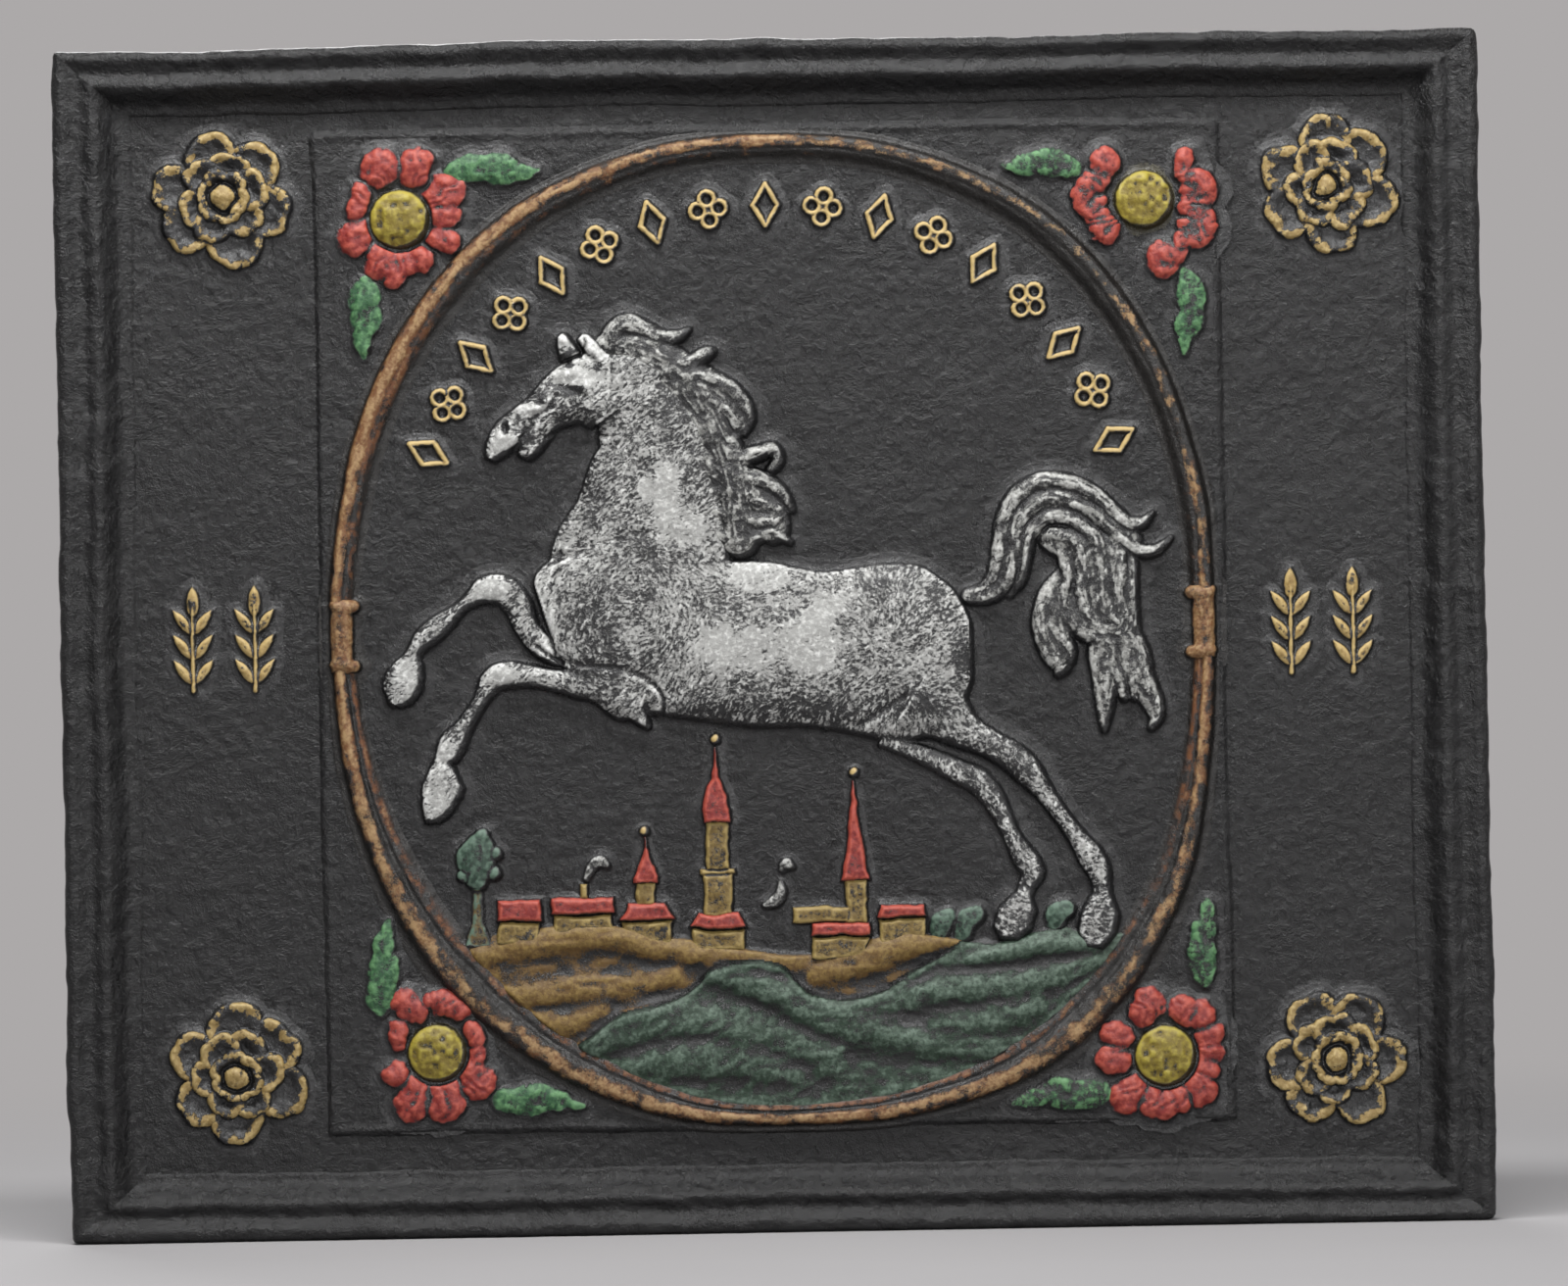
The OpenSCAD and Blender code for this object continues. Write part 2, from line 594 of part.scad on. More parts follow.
// A building is [left, right, foot, eaves, ridge, roof overhang, how far the roof draws in]
// and a tower's stage is [half width, foot, top] about its own centre line
left_cottage = [-118, -100, 122, 132, 142, 1, 0.5];
long_house = [-95, -69, 124, 135, 142, 1, 0.5];
small_nave = [-66, -44, 121, 132, 139.5, 1, 4];
tall_nave = [-36, -14, 118, 128, 134.5, 1.5, 4];
spire_nave = [14, 38.5, 114, 124, 130, 0.5, 0.5];
right_cottage = [42, 62, 120, 131, 137, 0.5, 1.5];
long_house_chimney = [-83, -79, 142, 148];
low_house = [6, 30, 130, 136];

module walls(b) {
    box(b[0], b[1], b[2], b[3]);
}

module roof(b) {
    polygon([[b[0] - b[5], b[3]], [b[1] + b[5], b[3]],
        [b[1] + b[5] - b[6], b[4]], [b[0] - b[5] + b[6], b[4]]]);
}

// Spires are outlines mirrored about their own centre line, as [half width, height]
small_tower_x = -55.5;
small_spire = [[4.6, 147], [4.2, 150], [2.4, 156], [0.9, 162], [0.4, 167]];
tall_tower_x = -25;
tall_spire = [[5.6, 172], [6, 178], [5.2, 184.5], [4, 188], [1.8, 192], [1, 198], [0.5, 205]];
spire_tower_x = 33;
tall_needle = [[6.4, 147], [5.2, 153], [3.2, 163], [1.7, 174], [0.5, 190]];

module spire(x, half) {
    translate([x, 0])
        polygon(concat([for (p = half) p], [for (i = [len(half) - 1:-1:0]) [-half[i][0], half[i][1]]]));
}

small_stages = [[4.2, 139.5, 147]];
tall_stages = [[6.2, 134.5, 150], [7.4, 150, 153], [4.8, 153, 172]];
spire_stages = [[4.8, 130, 147]];

module tower(x, stages) {
    for (stage = stages)
        box(x - stage[0], x + stage[0], stage[1], stage[2]);
}

module rectangles(list) {
    for (r = list)
        box(r[0], r[1], r[2], r[3]);
}

module town_footprint() {
    for (b = [left_cottage, long_house, small_nave, tall_nave, spire_nave, right_cottage]) {
        walls(b);
        roof(b);
    }
    tower(small_tower_x, small_stages);
    tower(tall_tower_x, tall_stages);
    tower(spire_tower_x, spire_stages);
    rectangles([low_house, tree_trunk]);
    rectangles(hedge_rows);
}

// A flat outline of the scene, raised from the panel's face as an exact solid
module raised_outline(rise) {
    on_panel_face()
        translate([0, oval_z - scene_scale * drawn_centre_z, 0])
            linear_extrude(rise)
                scale(scene_scale)
                    children();
}

module left_cottage_wall() {
    color(ochre)
        raised_outline(wall_rise)
            walls(left_cottage);
}

module left_cottage_roof() {
    color(red)
        raised_outline(roof_rise)
            roof(left_cottage);
}

module long_house_wall() {
    color(ochre)
        raised_outline(wall_rise) {
            walls(long_house);
            rectangles([long_house_chimney]);
        }
}

module long_house_roof() {
    color(red)
        raised_outline(roof_rise)
            roof(long_house);
}

module small_church_wall() {
    color(ochre)
        raised_outline(wall_rise) {
            walls(small_nave);
            tower(small_tower_x, small_stages);
        }
}

module small_church_roof() {
    color(red)
        raised_outline(roof_rise) {
            roof(small_nave);
            spire(small_tower_x, small_spire);
        }
}

module tall_church_wall() {
    color(ochre)
        raised_outline(wall_rise) {
            walls(tall_nave);
            tower(tall_tower_x, tall_stages);
        }
}

module tall_church_roof() {
    color(red)
        raised_outline(roof_rise) {
            roof(tall_nave);
            spire(tall_tower_x, tall_spire);
        }
}

module spire_church_wall() {
    color(ochre)
        raised_outline(wall_rise) {
            walls(spire_nave);
            tower(spire_tower_x, spire_stages);
            rectangles([low_house]);
        }
}

module spire_church_roof() {
    color(red)
        raised_outline(roof_rise) {
            roof(spire_nave);
            spire(spire_tower_x, tall_needle);
        }
}

module right_cottage_wall() {
    color(ochre)
        raised_outline(wall_rise)
            walls(right_cottage);
}

module right_cottage_roof() {
    color(red)
        raised_outline(roof_rise)
            roof(right_cottage);
}

// A ball over each spire, half sunk in the panel's face like the rest of the carving
module spire_balls() {
    color(gold)
        for (top = [[small_tower_x, small_spire], [tall_tower_x, tall_spire], [spire_tower_x, tall_needle]])
            on_panel_face()
                translate([scene_scale * top[0],
                    oval_z + scene_scale * (top[1][len(top[1]) - 1][1] - drawn_centre_z) + ball_d / 2, 0])
                    dome(ball_d, wall_rise);
}

// Hedges beside the houses, and a tree, as [left, right, foot, top]
hedge_rows = [[66, 76, 122, 136], [78, 88, 122, 136.5], [112, 122, 126, 138]];

module hedges() {
    color(green)
        raised_outline(wall_rise)
            rectangles(hedge_rows);
}

tree_trunk = [-130, -122, 125, 150];
trunk_share = 0.6;
tree_crown = [[-127, 146, 5.5, 0.85], [-126, 154, 8.5, 1], [-125, 161, 7.5, 0.95], [-125, 167, 4, 0.7]];

module tree() {
    color(green)
        in_oval() {
            linear_extrude(wall_rise * trunk_share)
                rectangles([tree_trunk]);
            rib(raised(tree_crown, roof_rise));
        }
}

smoke_curls = [
    [[-80, 150, 1.5, 0.6], [-78, 155, 2, 0.8], [-74, 157.5, 2, 0.8], [-71, 155, 1.2, 0.6]],
    [[-6, 137, 1.2, 0.6], [-1, 138, 2, 0.8], [2, 142, 1.8, 0.8], [1.5, 147, 0.8, 0.5]],
    [[2, 152, 1.2, 0.6], [4, 155, 2.2, 0.8], [7, 153.5, 1.2, 0.6]]];

module chimney_smoke() {
    color(silver)
        in_oval()
            for (curl = smoke_curls)
                rib(raised(curl, wall_rise));
}

// Arch of ornaments between the hoop and the horse: lozenges and quatrefoils by turns

arch_first = 28;
arch_last = 152;
arch_inset = arch_gap + lozenge_h / 2;

// Places its children at ornament i, upright across the arch
module at_arch(i) {
    t = lerp(arch_last, arch_first, i / (arch_count - 1));
    p = oval_point(inner_a - arch_inset, inner_b - arch_inset, t, opening_powers);
    on_panel_face()
        translate([p[0], oval_z + p[1], 0])
            rotate([0, 0, t - 90])
                children();
}

module lozenge(w, h) {
    polygon([[0, h / 2], [-w / 2, 0], [0, -h / 2], [w / 2, 0]]);
}

// Its line is as wide as any other, so the opening draws in by more lengthwise than across
module lozenge_frame() {
    slant = norm([lozenge_w, lozenge_h]);
    linear_extrude(line_rise)
        difference() {
            lozenge(lozenge_w, lozenge_h);
            lozenge(lozenge_w - 2 * line_w * slant / lozenge_h, lozenge_h - 2 * line_w * slant / lozenge_w);
        }
}

module quatrefoil_frame() {
    lobe_d = quatrefoil_d / 2;
    linear_extrude(line_rise)
        difference() {
            for (k = [0:3])
                rotate([0, 0, 90 * k])
                    translate([lobe_d / 2, 0])
                        circle(d = lobe_d, $fn = 24);
            for (k = [0:3])
                rotate([0, 0, 90 * k])
                    translate([lobe_d / 2, 0])
                        circle(d = lobe_d - line_w, $fn = 24);
        }
}

module arch_lozenges() {
    color(gold)
        for (i = [0:2:arch_count - 1])
            at_arch(i)
                lozenge_frame();
}

module arch_quatrefoils() {
    color(gold)
        for (i = [1:2:arch_count - 2])
            at_arch(i)
                quatrefoil_frame();
}

// Sprigs in the side fields: a stem with three pairs of leaves and a bud

sprig_stem_w = 2.4;
sprig_leaf_w = 4.8;
sprig_leaf_turn = 38;
sprig_leaf_roots = [0.06, 0.3, 0.54];
sprig_leaf_share = 0.3;
sprig_bud_share = 0.3;
sprig_bud_w = 6;

// A pointed leaf standing on its stalk: the overlap of two equal discs
module pointed_leaf(length, width) {
    disc_r = (length * length + width * width) / (4 * width);
    translate([0, length / 2])
        intersection_for (side = [-1, 1])
            translate([side * (disc_r - width / 2), 0])
                circle(r = disc_r, $fn = 96);
}

module sprig() {
    linear_extrude(sprig_rise) {
        translate([-sprig_stem_w / 2, 0])
            square([sprig_stem_w, sprig_h * (1 - sprig_bud_share / 2)]);
        translate([0, sprig_h * (1 - sprig_bud_share)])
            pointed_leaf(sprig_h * sprig_bud_share, sprig_bud_w);
        for (root = sprig_leaf_roots, side = [-1, 1])
            translate([0, root * sprig_h])
                rotate(side * sprig_leaf_turn)
                    pointed_leaf(sprig_h * sprig_leaf_share, sprig_leaf_w);
    }
}

module sprig_pair(side) {
    middle_x = side * (panel_half_w + side_field_w / 2);
    color(gold)
        on_slab_face()
            for (k = [-0.5, 0.5])
                translate([middle_x + k * sprig_pitch, oval_z - sprig_h / 2, 0])
                    sprig();
}

module left_sprigs() {
    sprig_pair(-1);
}

module right_sprigs() {
    sprig_pair(1);
}

// Rosettes: three tiers of cupped petals round a boss

// Each tier is [distance of the petals from the centre, petal radius] as shares of the rosette's
// radius, then the height of its rims as a share of the boss's, and its turn in degrees
rosette_tiers = [[0.63, 0.37, 0.42, 0], [0.4, 0.32, 0.64, 30], [0.21, 0.23, 0.84, 0]];
rosette_petals = 6;
rim_share = 0.07;
cup_share = 0.3;
boss_share = 0.18;
collar_share = 0.2;
collar_height_share = 0.7;

module rosette() {
    r = rosette_d / 2;
    for (tier = rosette_tiers) {
        rim_h = tier[2] * rosette_rise;
        petal_r = tier[1] * r;
        cup_r = petal_r - rim_share * r;
        cup_depth = min(cup_share * rosette_rise, rim_h / 2);
        for (k = [0:rosette_petals - 1])
            rotate([0, 0, tier[3] + 360 * k / rosette_petals])
                translate([tier[0] * r, 0, 0])
                    difference() {
                        cylinder(h = rim_h, r = petal_r, $fn = 32);
                        translate([0, 0, rim_h - cup_depth])
                            cylinder(h = rosette_rise, r = cup_r, $fn = 32);
                    }
    }
    cylinder(h = collar_height_share * rosette_rise, r = collar_share * r, $fn = 32);
    translate([0, 0, collar_height_share * rosette_rise])
        dome(2 * boss_share * r, (1 - collar_height_share) * rosette_rise);
}

// Distances of each rosette's centre from the outer corner of the field, sideways and up
rosette_inset = [[43, 39], [35.5, 41.5], [43, 45.5], [38, 44]];
rosette_turns = [45, 35, 33, 0];
corner_sides = [[-1, 1], [1, 1], [-1, -1], [1, -1]];

module rosette_at(corner) {
    side = corner_sides[corner];
    inset = rosette_inset[corner];
    color(gold)
        on_slab_face()
            translate([side[0] * (field_half_w - inset[0]),
                side[1] > 0 ? field_top - inset[1] : cross_rail_w + inset[1], 0])
                rotate([0, 0, rosette_turns[corner]])
                    rosette();
}

module rosette_top_left() {
    rosette_at(0);
}

module rosette_top_right() {
    rosette_at(1);
}

module rosette_bottom_left() {
    rosette_at(2);
}

module rosette_bottom_right() {
    rosette_at(3);
}

// Flowers: plump petals round a domed eye, each with its own hand-set petals

// Distances of each flower's centre from the panel's corner, sideways and up
flower_inset = [[36.9, 37.6], [32, 34.8], [45.8, 33.5], [29.2, 27.4]];

// A full petal's diameter as a share of the flower's
petal_share = 0.27;

// Petals as [direction, share of the full petal size, reach as a share of the flower's radius]
flower_petals = [
    [[29, 0.97, 1.05], [73, 0.97, 1.05], [108, 0.97, 1.05], [157, 0.55, 0.8], [203, 0.95, 1], [257, 1.05, 1],
        [297, 0.7, 0.92], [348, 0.88, 0.94]],
    [[11, 0.85, 1.15], [37, 0.6, 0.95], [136, 0.72, 1], [178, 0.8, 1.1], [201, 0.68, 0.97], [220, 0.7, 0.95],
        [289, 0.95, 1.19], [331, 0.88, 1.22]],
    [[15, 0.6, 0.8], [79, 0.88, 0.96], [121, 0.82, 1.05], [152, 0.5, 0.82], [207, 0.6, 0.87], [245, 0.97, 1.11],
        [279, 1, 1.07], [325, 1, 1.02]],
    [[10, 0.95, 0.95], [58, 1, 1.04], [107, 0.97, 1.02], [155, 0.75, 0.98], [184, 0.8, 0.99], [226, 0.95, 1.08],
        [270, 0.95, 0.97], [316, 0.9, 1]]];

module at_panel_corner(corner, inset) {
    side = corner_sides[corner];
    on_panel_face()
        translate([side[0] * (panel_half_w - corner_scale * inset[0]),
            side[1] > 0 ? panel_top - corner_scale * inset[1] : panel_foot + corner_scale * inset[1], 0])
            children();
}

module petals_at(corner) {
    full_d = corner_scale * flower_d;
    petal_d = petal_share * full_d;
    color(red)
        at_panel_corner(corner, flower_inset[corner])
            difference() {
                for (petal = flower_petals[corner])
                    rotate([0, 0, petal[0]])
                        translate([(petal[2] * full_d - petal[1] * petal_d) / 2, 0, 0])
                            dome(petal[1] * petal_d, petal_rise);
                cylinder(h = flower_eye_rise * 2, d = corner_scale * flower_eye_d + 2 * flower_gap, center = true,
                    $fn = 48);
            }
}

module eye_at(corner) {
    color(yellow)
        at_panel_corner(corner, flower_inset[corner])
            dome(corner_scale * flower_eye_d, flower_eye_rise);
}

module petals_top_left() {
    petals_at(0);
}

module petals_top_right() {
    petals_at(1);
}

module petals_bottom_left() {
    petals_at(2);
}

module petals_bottom_right() {
    petals_at(3);
}

module eye_top_left() {
    eye_at(0);
}

module eye_top_right() {
    eye_at(1);
}

module eye_bottom_left() {
    eye_at(2);
}

module eye_bottom_right() {
    eye_at(3);
}

// Leaves: two beside each flower, as [corner, inset of the middle, length, turn]
leaves = [
    [0, [78.2, 17.4], 37, -3], [0, [22.2, 80.3], 33, -93],
    [1, [74, 19], 31, 176], [1, [14, 82.3], 35, -94],
    [2, [24.7, 70.5], 37, 83], [2, [90.8, 12], 36, -5],
    [3, [12.2, 75], 35, 96], [3, [73.2, 11], 40, 184]];

// A leaf along X, from its blunt end to its point, as shares of its length and width
leaf_form = [[-0.5, 0, 0.16, 0.5], [-0.42, 0.01, 0.4, 0.8], [-0.18, -0.02, 0.5, 1], [0.08, 0.02, 0.42, 0.95],
    [0.3, -0.01, 0.27, 0.8], [0.5, 0.02, 0.05, 0.4]];

module leaf(i) {
    length = corner_scale * leaves[i][2];
    color(green)
        at_panel_corner(leaves[i][0], leaves[i][1])
            rotate([0, 0, leaves[i][3]])
                hull()
                    rib([for (s = leaf_form)
                        [s[0] * length, s[1] * length, s[2] * corner_scale * leaf_w, s[3] * leaf_rise]]);
}

module leaf_top_left_upper() {
    leaf(0);
}

module leaf_top_left_lower() {
    leaf(1);
}

module leaf_top_right_upper() {
    leaf(2);
}

module leaf_top_right_lower() {
    leaf(3);
}

module leaf_bottom_left_upper() {
    leaf(4);
}

module leaf_bottom_left_lower() {
    leaf(5);
}

module leaf_bottom_right_upper() {
    leaf(6);
}

module leaf_bottom_right_lower() {
    leaf(7);
}

slab();
top_moulding();
bottom_moulding();
left_moulding();
right_moulding();
centre_panel();
upper_hoop();
lower_hoop();
left_clasp();
right_clasp();
horse();
mane();
tail();
field();
hills();
hedges();
tree();
chimney_smoke();
left_cottage_wall();
left_cottage_roof();
long_house_wall();
long_house_roof();
small_church_wall();
small_church_roof();
tall_church_wall();
tall_church_roof();
spire_church_wall();
spire_church_roof();
right_cottage_wall();
right_cottage_roof();
spire_balls();
arch_lozenges();
arch_quatrefoils();
left_sprigs();
right_sprigs();
rosette_top_left();
rosette_top_right();
rosette_bottom_left();
rosette_bottom_right();
petals_top_left();
petals_top_right();
petals_bottom_left();
petals_bottom_right();
eye_top_left();
eye_top_right();
eye_bottom_left();
eye_bottom_right();
leaf_top_left_upper();
leaf_top_left_lower();
leaf_top_right_upper();
leaf_top_right_lower();
leaf_bottom_left_upper();
leaf_bottom_left_lower();
leaf_bottom_right_upper();
leaf_bottom_right_lower();
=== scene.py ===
# A cast-iron stove plate with painted relief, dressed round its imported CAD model. The plate stands on
# its bottom edge with its carved face towards -Y. Meshes are carved in mm and then set down in metres.
import math

import bpy
import numpy as np
from mathutils import Matrix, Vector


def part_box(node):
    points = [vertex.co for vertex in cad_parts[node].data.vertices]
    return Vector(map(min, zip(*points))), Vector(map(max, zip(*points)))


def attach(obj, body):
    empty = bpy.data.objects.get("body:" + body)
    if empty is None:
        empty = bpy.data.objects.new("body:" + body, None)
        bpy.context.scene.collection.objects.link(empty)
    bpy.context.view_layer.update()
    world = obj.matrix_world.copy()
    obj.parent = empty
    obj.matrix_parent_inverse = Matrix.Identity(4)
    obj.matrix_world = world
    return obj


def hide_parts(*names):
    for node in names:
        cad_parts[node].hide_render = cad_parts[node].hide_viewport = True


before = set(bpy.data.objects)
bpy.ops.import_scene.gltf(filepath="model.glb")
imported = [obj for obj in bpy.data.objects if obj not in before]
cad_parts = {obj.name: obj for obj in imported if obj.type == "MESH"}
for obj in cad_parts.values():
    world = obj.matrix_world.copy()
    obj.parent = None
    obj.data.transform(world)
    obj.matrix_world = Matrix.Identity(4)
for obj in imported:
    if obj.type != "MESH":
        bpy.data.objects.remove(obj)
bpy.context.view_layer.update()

# The slab: the plain plate behind all the carving, of blackened sand-cast iron, poured in one with
# everything on it. Its face swells and dips a little, as the packed sand did, and its back is rough.
MM = 0.001


def box_mm(node):
    """The low and the high corner of a CAD node in mm"""
    return [np.array(corner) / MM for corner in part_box(node)]


SLAB_LOW, SLAB_HIGH = box_mm("slab")
SLAB_FACE, BACK = SLAB_LOW[1], SLAB_HIGH[1]
SLAB_THICK = BACK - SLAB_FACE
HALF_WIDTH, TOP = SLAB_HIGH[0], SLAB_HIGH[2]


def swell(x, z, size, seed):
    """Smooth waves of about this size in mm, from -1 to 1, always the same at the same place"""
    gx, gz = x / size, z / size
    ix, iz = np.floor(gx).astype(np.int64), np.floor(gz).astype(np.int64)
    fx, fz = gx - ix, gz - iz
    fx = fx * fx * fx * (fx * (fx * 6 - 15) + 10)
    fz = fz * fz * fz * (fz * (fz * 6 - 15) + 10)

    def post(a, b):
        # The bits of the place and the seed are mixed until they look like chance
        n = (a * 374761393 + b * 668265263 + seed * 362437) & 0xFFFFFFFF
        n = ((n ^ (n >> 13)) * 1274126177) & 0xFFFFFFFF
        return ((n ^ (n >> 16)) & 0xFFFF) / 32767.5 - 1

    near = post(ix, iz) * (1 - fx) + post(ix + 1, iz) * fx
    far = post(ix, iz + 1) * (1 - fx) + post(ix + 1, iz + 1) * fx
    return near * (1 - fz) + far * fz


def waves(x, z, *parts):
    """Swells laid over each other, each given as its amount, size and seed"""
    return sum(amount * swell(x, z, size, seed) for amount, size, seed in parts)


def rough(x, z, size, seed, layers=3):
    """Waves of this size with finer ones on them"""
    total = 0
    for k in range(layers):
        total = total + swell(x + 17.3 * k, z - 9.1 * k, size / 2**k, seed + 31 * k) / 2**k
    return total / 1.6


def ground(x, z):
    """How far the cast face stands off its true plane, in mm"""
    streak = swell(0.8 * x + 0.6 * z, 2.2 * (0.8 * z - 0.6 * x), 9, 4)
    return waves(x, z, (0.3, 48, 1), (0.16, 19, 2)) + 0.2 * rough(x, z, 7.5, 3) + 0.16 * streak


def ease(t):
    """A smooth step from 0 to 1"""
    t = np.clip(t, 0, 1)
    return t * t * (3 - 2 * t)


def bell(off, width):
    """A soft peak of 1 that fades to both sides"""
    return np.exp(-(off / width) ** 2)


def add(tree, kind, inputs=None, **settings):
    """A shader node with its inputs set or linked"""
    node = tree.nodes.new("ShaderNode" + kind)
    for key, value in settings.items():
        setattr(node, key, value)
    for key, value in (inputs or {}).items():
        if isinstance(value, bpy.types.NodeSocket):
            tree.links.new(value, node.inputs[key])
        else:
            node.inputs[key].default_value = value
    return node


def sums(tree, operation, *values, clamp=False):
    """The result of one step of arithmetic in a shader"""
    return add(tree, "Math", dict(enumerate(values)), operation=operation, use_clamp=clamp).outputs[0]


def blend(tree, share, first, second):
    """A colour between two others"""
    return add(tree, "Mix", {0: share, 6: first, 7: second}, data_type="RGBA").outputs[2]


def between(tree, value, low, high, start=0.0, end=1.0):
    """A value spread smoothly from one span to another"""
    inputs = {0: value, 1: low, 2: high, 3: start, 4: end}
    return add(tree, "MapRange", inputs, interpolation_type="SMOOTHSTEP").outputs[0]


def noise(tree, place, **inputs):
    """A noise texture, from 0 to 1"""
    return add(tree, "TexNoise", {"Vector": place, **inputs}).outputs[0]


def color(red, green, blue):
    """A paint's colour from its 0 to 255 screen values"""
    def linear(v):
        return v / 3294.6 if v <= 10.3 else ((v / 255 + 0.055) / 1.055) ** 2.4
    return (linear(red), linear(green), linear(blue), 1.0)


def shader_group(name, inputs):
    """An empty node group for a skin, with the sockets of its input and output nodes"""
    tree = bpy.data.node_groups.new(name, "ShaderNodeTree")
    for label, kind, value in inputs:
        socket = tree.interface.new_socket(label, in_out="INPUT", socket_type="NodeSocket" + kind)
        socket.default_value = value
    for label, kind in (("Color", "Color"), ("Roughness", "Float"), ("Height", "Float")):
        tree.interface.new_socket(label, in_out="OUTPUT", socket_type="NodeSocket" + kind)
    return tree, tree.nodes.new("NodeGroupInput").outputs, tree.nodes.new("NodeGroupOutput").inputs


# Cast Skin: the grain of sand-cast iron, in three sizes, with fine pits and a patchy sheen
tree, given, told = shader_group("Cast Skin", [
    ("Iron", "Color", color(15, 15, 16)), ("Bloom", "Color", color(56, 56, 58))])
place = add(tree, "TexCoord").outputs["Object"]
fine = noise(tree, place, Scale=1500.0, Detail=4.0, Roughness=0.65)
coarse = noise(tree, place, Scale=230.0, Detail=5.0, Roughness=0.66, Distortion=0.1)
broad = noise(tree, place, Scale=45.0, Detail=4.0)
height = sums(tree, "MULTIPLY_ADD", fine, 0.4, sums(tree, "MULTIPLY", coarse, 1.6))
tree.links.new(height, told["Height"])
raised = sums(tree, "MULTIPLY_ADD", fine, 0.5, sums(tree, "MULTIPLY", coarse, 0.8))
patchy = between(tree, broad, low=0.3, high=0.75, start=0.25)
bloom = sums(tree, "MULTIPLY", between(tree, raised, low=0.62, high=0.95), patchy)
tree.links.new(blend(tree, bloom, given["Iron"], given["Bloom"]), told["Color"])
sheen = between(tree, sums(tree, "ADD", coarse, broad), low=0.75, high=1.25, start=0.38, end=0.17)
tree.links.new(sheen, told["Roughness"])
CAST_SKIN = tree


def new_material(name):
    """An empty material and its node tree"""
    material = bpy.data.materials.new(name)
    material.use_nodes = True
    return material, material.node_tree


def wear_skin(tree, skin, depth, shine):
    """Leads a skin group to the material's own shader: depth of its relief in mm, and its shine"""
    surface = tree.nodes["Principled BSDF"]
    bump = add(tree, "Bump", {"Height": skin.outputs["Height"], "Strength": 1.0, "Distance": depth * MM})
    tree.links.new(skin.outputs["Color"], surface.inputs["Base Color"])
    tree.links.new(skin.outputs["Roughness"], surface.inputs["Roughness"])
    tree.links.new(bump.outputs[0], surface.inputs["Normal"])
    surface.inputs["Specular IOR Level"].default_value = shine


IRON, tree = new_material("Blackened iron")
skin = add(tree, "Group", {"Iron": color(9, 9, 10), "Bloom": color(28, 28, 30)}, node_tree=CAST_SKIN)
wear_skin(tree, skin, depth=0.9, shine=0.43)


def set_down(name, points, quads, layers, material, nodes):
    """Makes a piece of points in mm and four-sided faces, hides the CAD nodes it stands for, and hangs it on
    the root body
    """
    mesh = bpy.data.meshes.new(name)
    mesh.vertices.add(len(points))
    mesh.vertices.foreach_set("co", (points * MM).astype(np.float32).ravel())
    mesh.loops.add(quads.size)
    mesh.loops.foreach_set("vertex_index", quads.astype(np.int32).ravel())
    mesh.polygons.add(len(quads))
    mesh.polygons.foreach_set("loop_start", np.arange(0, quads.size, 4, dtype=np.int32))
    mesh.polygons.foreach_set("use_smooth", np.ones(len(quads), dtype=bool))
    mesh.update(calc_edges=True)
    for key, values in layers.items():
        mesh.attributes.new(key, "FLOAT", "POINT").data.foreach_set("value", values.astype(np.float32))
    mesh.materials.append(material)
    piece = bpy.data.objects.new(name, mesh)
    bpy.context.scene.collection.objects.link(piece)
    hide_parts(*nodes)
    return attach(piece, "root")


def weave_quads(rows, cols, keep=None):
    """Faces between the points of a grid, wound to face -Y, round the points that are kept"""
    index = np.arange(rows * cols).reshape(rows, cols)
    quads = np.stack([index[:-1, :-1], index[:-1, 1:], index[1:, 1:], index[1:, :-1]], -1)
    if keep is not None:
        quads = quads[keep[:-1, :-1] | keep[:-1, 1:] | keep[1:, 1:] | keep[1:, :-1]]
    return quads.reshape(-1, 4)


SLAB_STEP = 2.0
# How far inside the plate's edge the slab's two sheets end, under the mouldings
SLAB_TUCK = 6
BACK_PITS = 1.2
x, z = np.meshgrid(np.arange(-HALF_WIDTH + SLAB_TUCK, HALF_WIDTH - SLAB_TUCK + 1, SLAB_STEP),
                   np.arange(SLAB_TUCK, TOP - SLAB_TUCK + 1, SLAB_STEP))
front = np.stack([x, SLAB_FACE - ground(x, z), z], -1).reshape(-1, 3)
pitted = 0.5 + 0.35 * rough(x, z, 30, 5) + 0.2 * rough(x, z, 8, 6)
rear = np.stack([x, BACK - np.clip(pitted, 0.05, BACK_PITS), z], -1).reshape(-1, 3)
quads = weave_quads(*x.shape)
set_down("slab_plate", np.concatenate([front, rear]),
         np.concatenate([quads, quads[:, ::-1] + len(front)]), {}, IRON, ["slab"])


# The frame: four lengths of one moulding, mitred at the corners and cast with the slab. From the
# outer edge it has a round ridge, a hollow and a lower bead, which slopes to a low step in the field.
RAIL_RISE = SLAB_FACE - box_mm("top_moulding")[0][1]
SIDE_RAIL = np.ptp([corner[0] for corner in box_mm("left_moulding")])
CROSS_RAIL = np.ptp([corner[2] for corner in box_mm("top_moulding")])
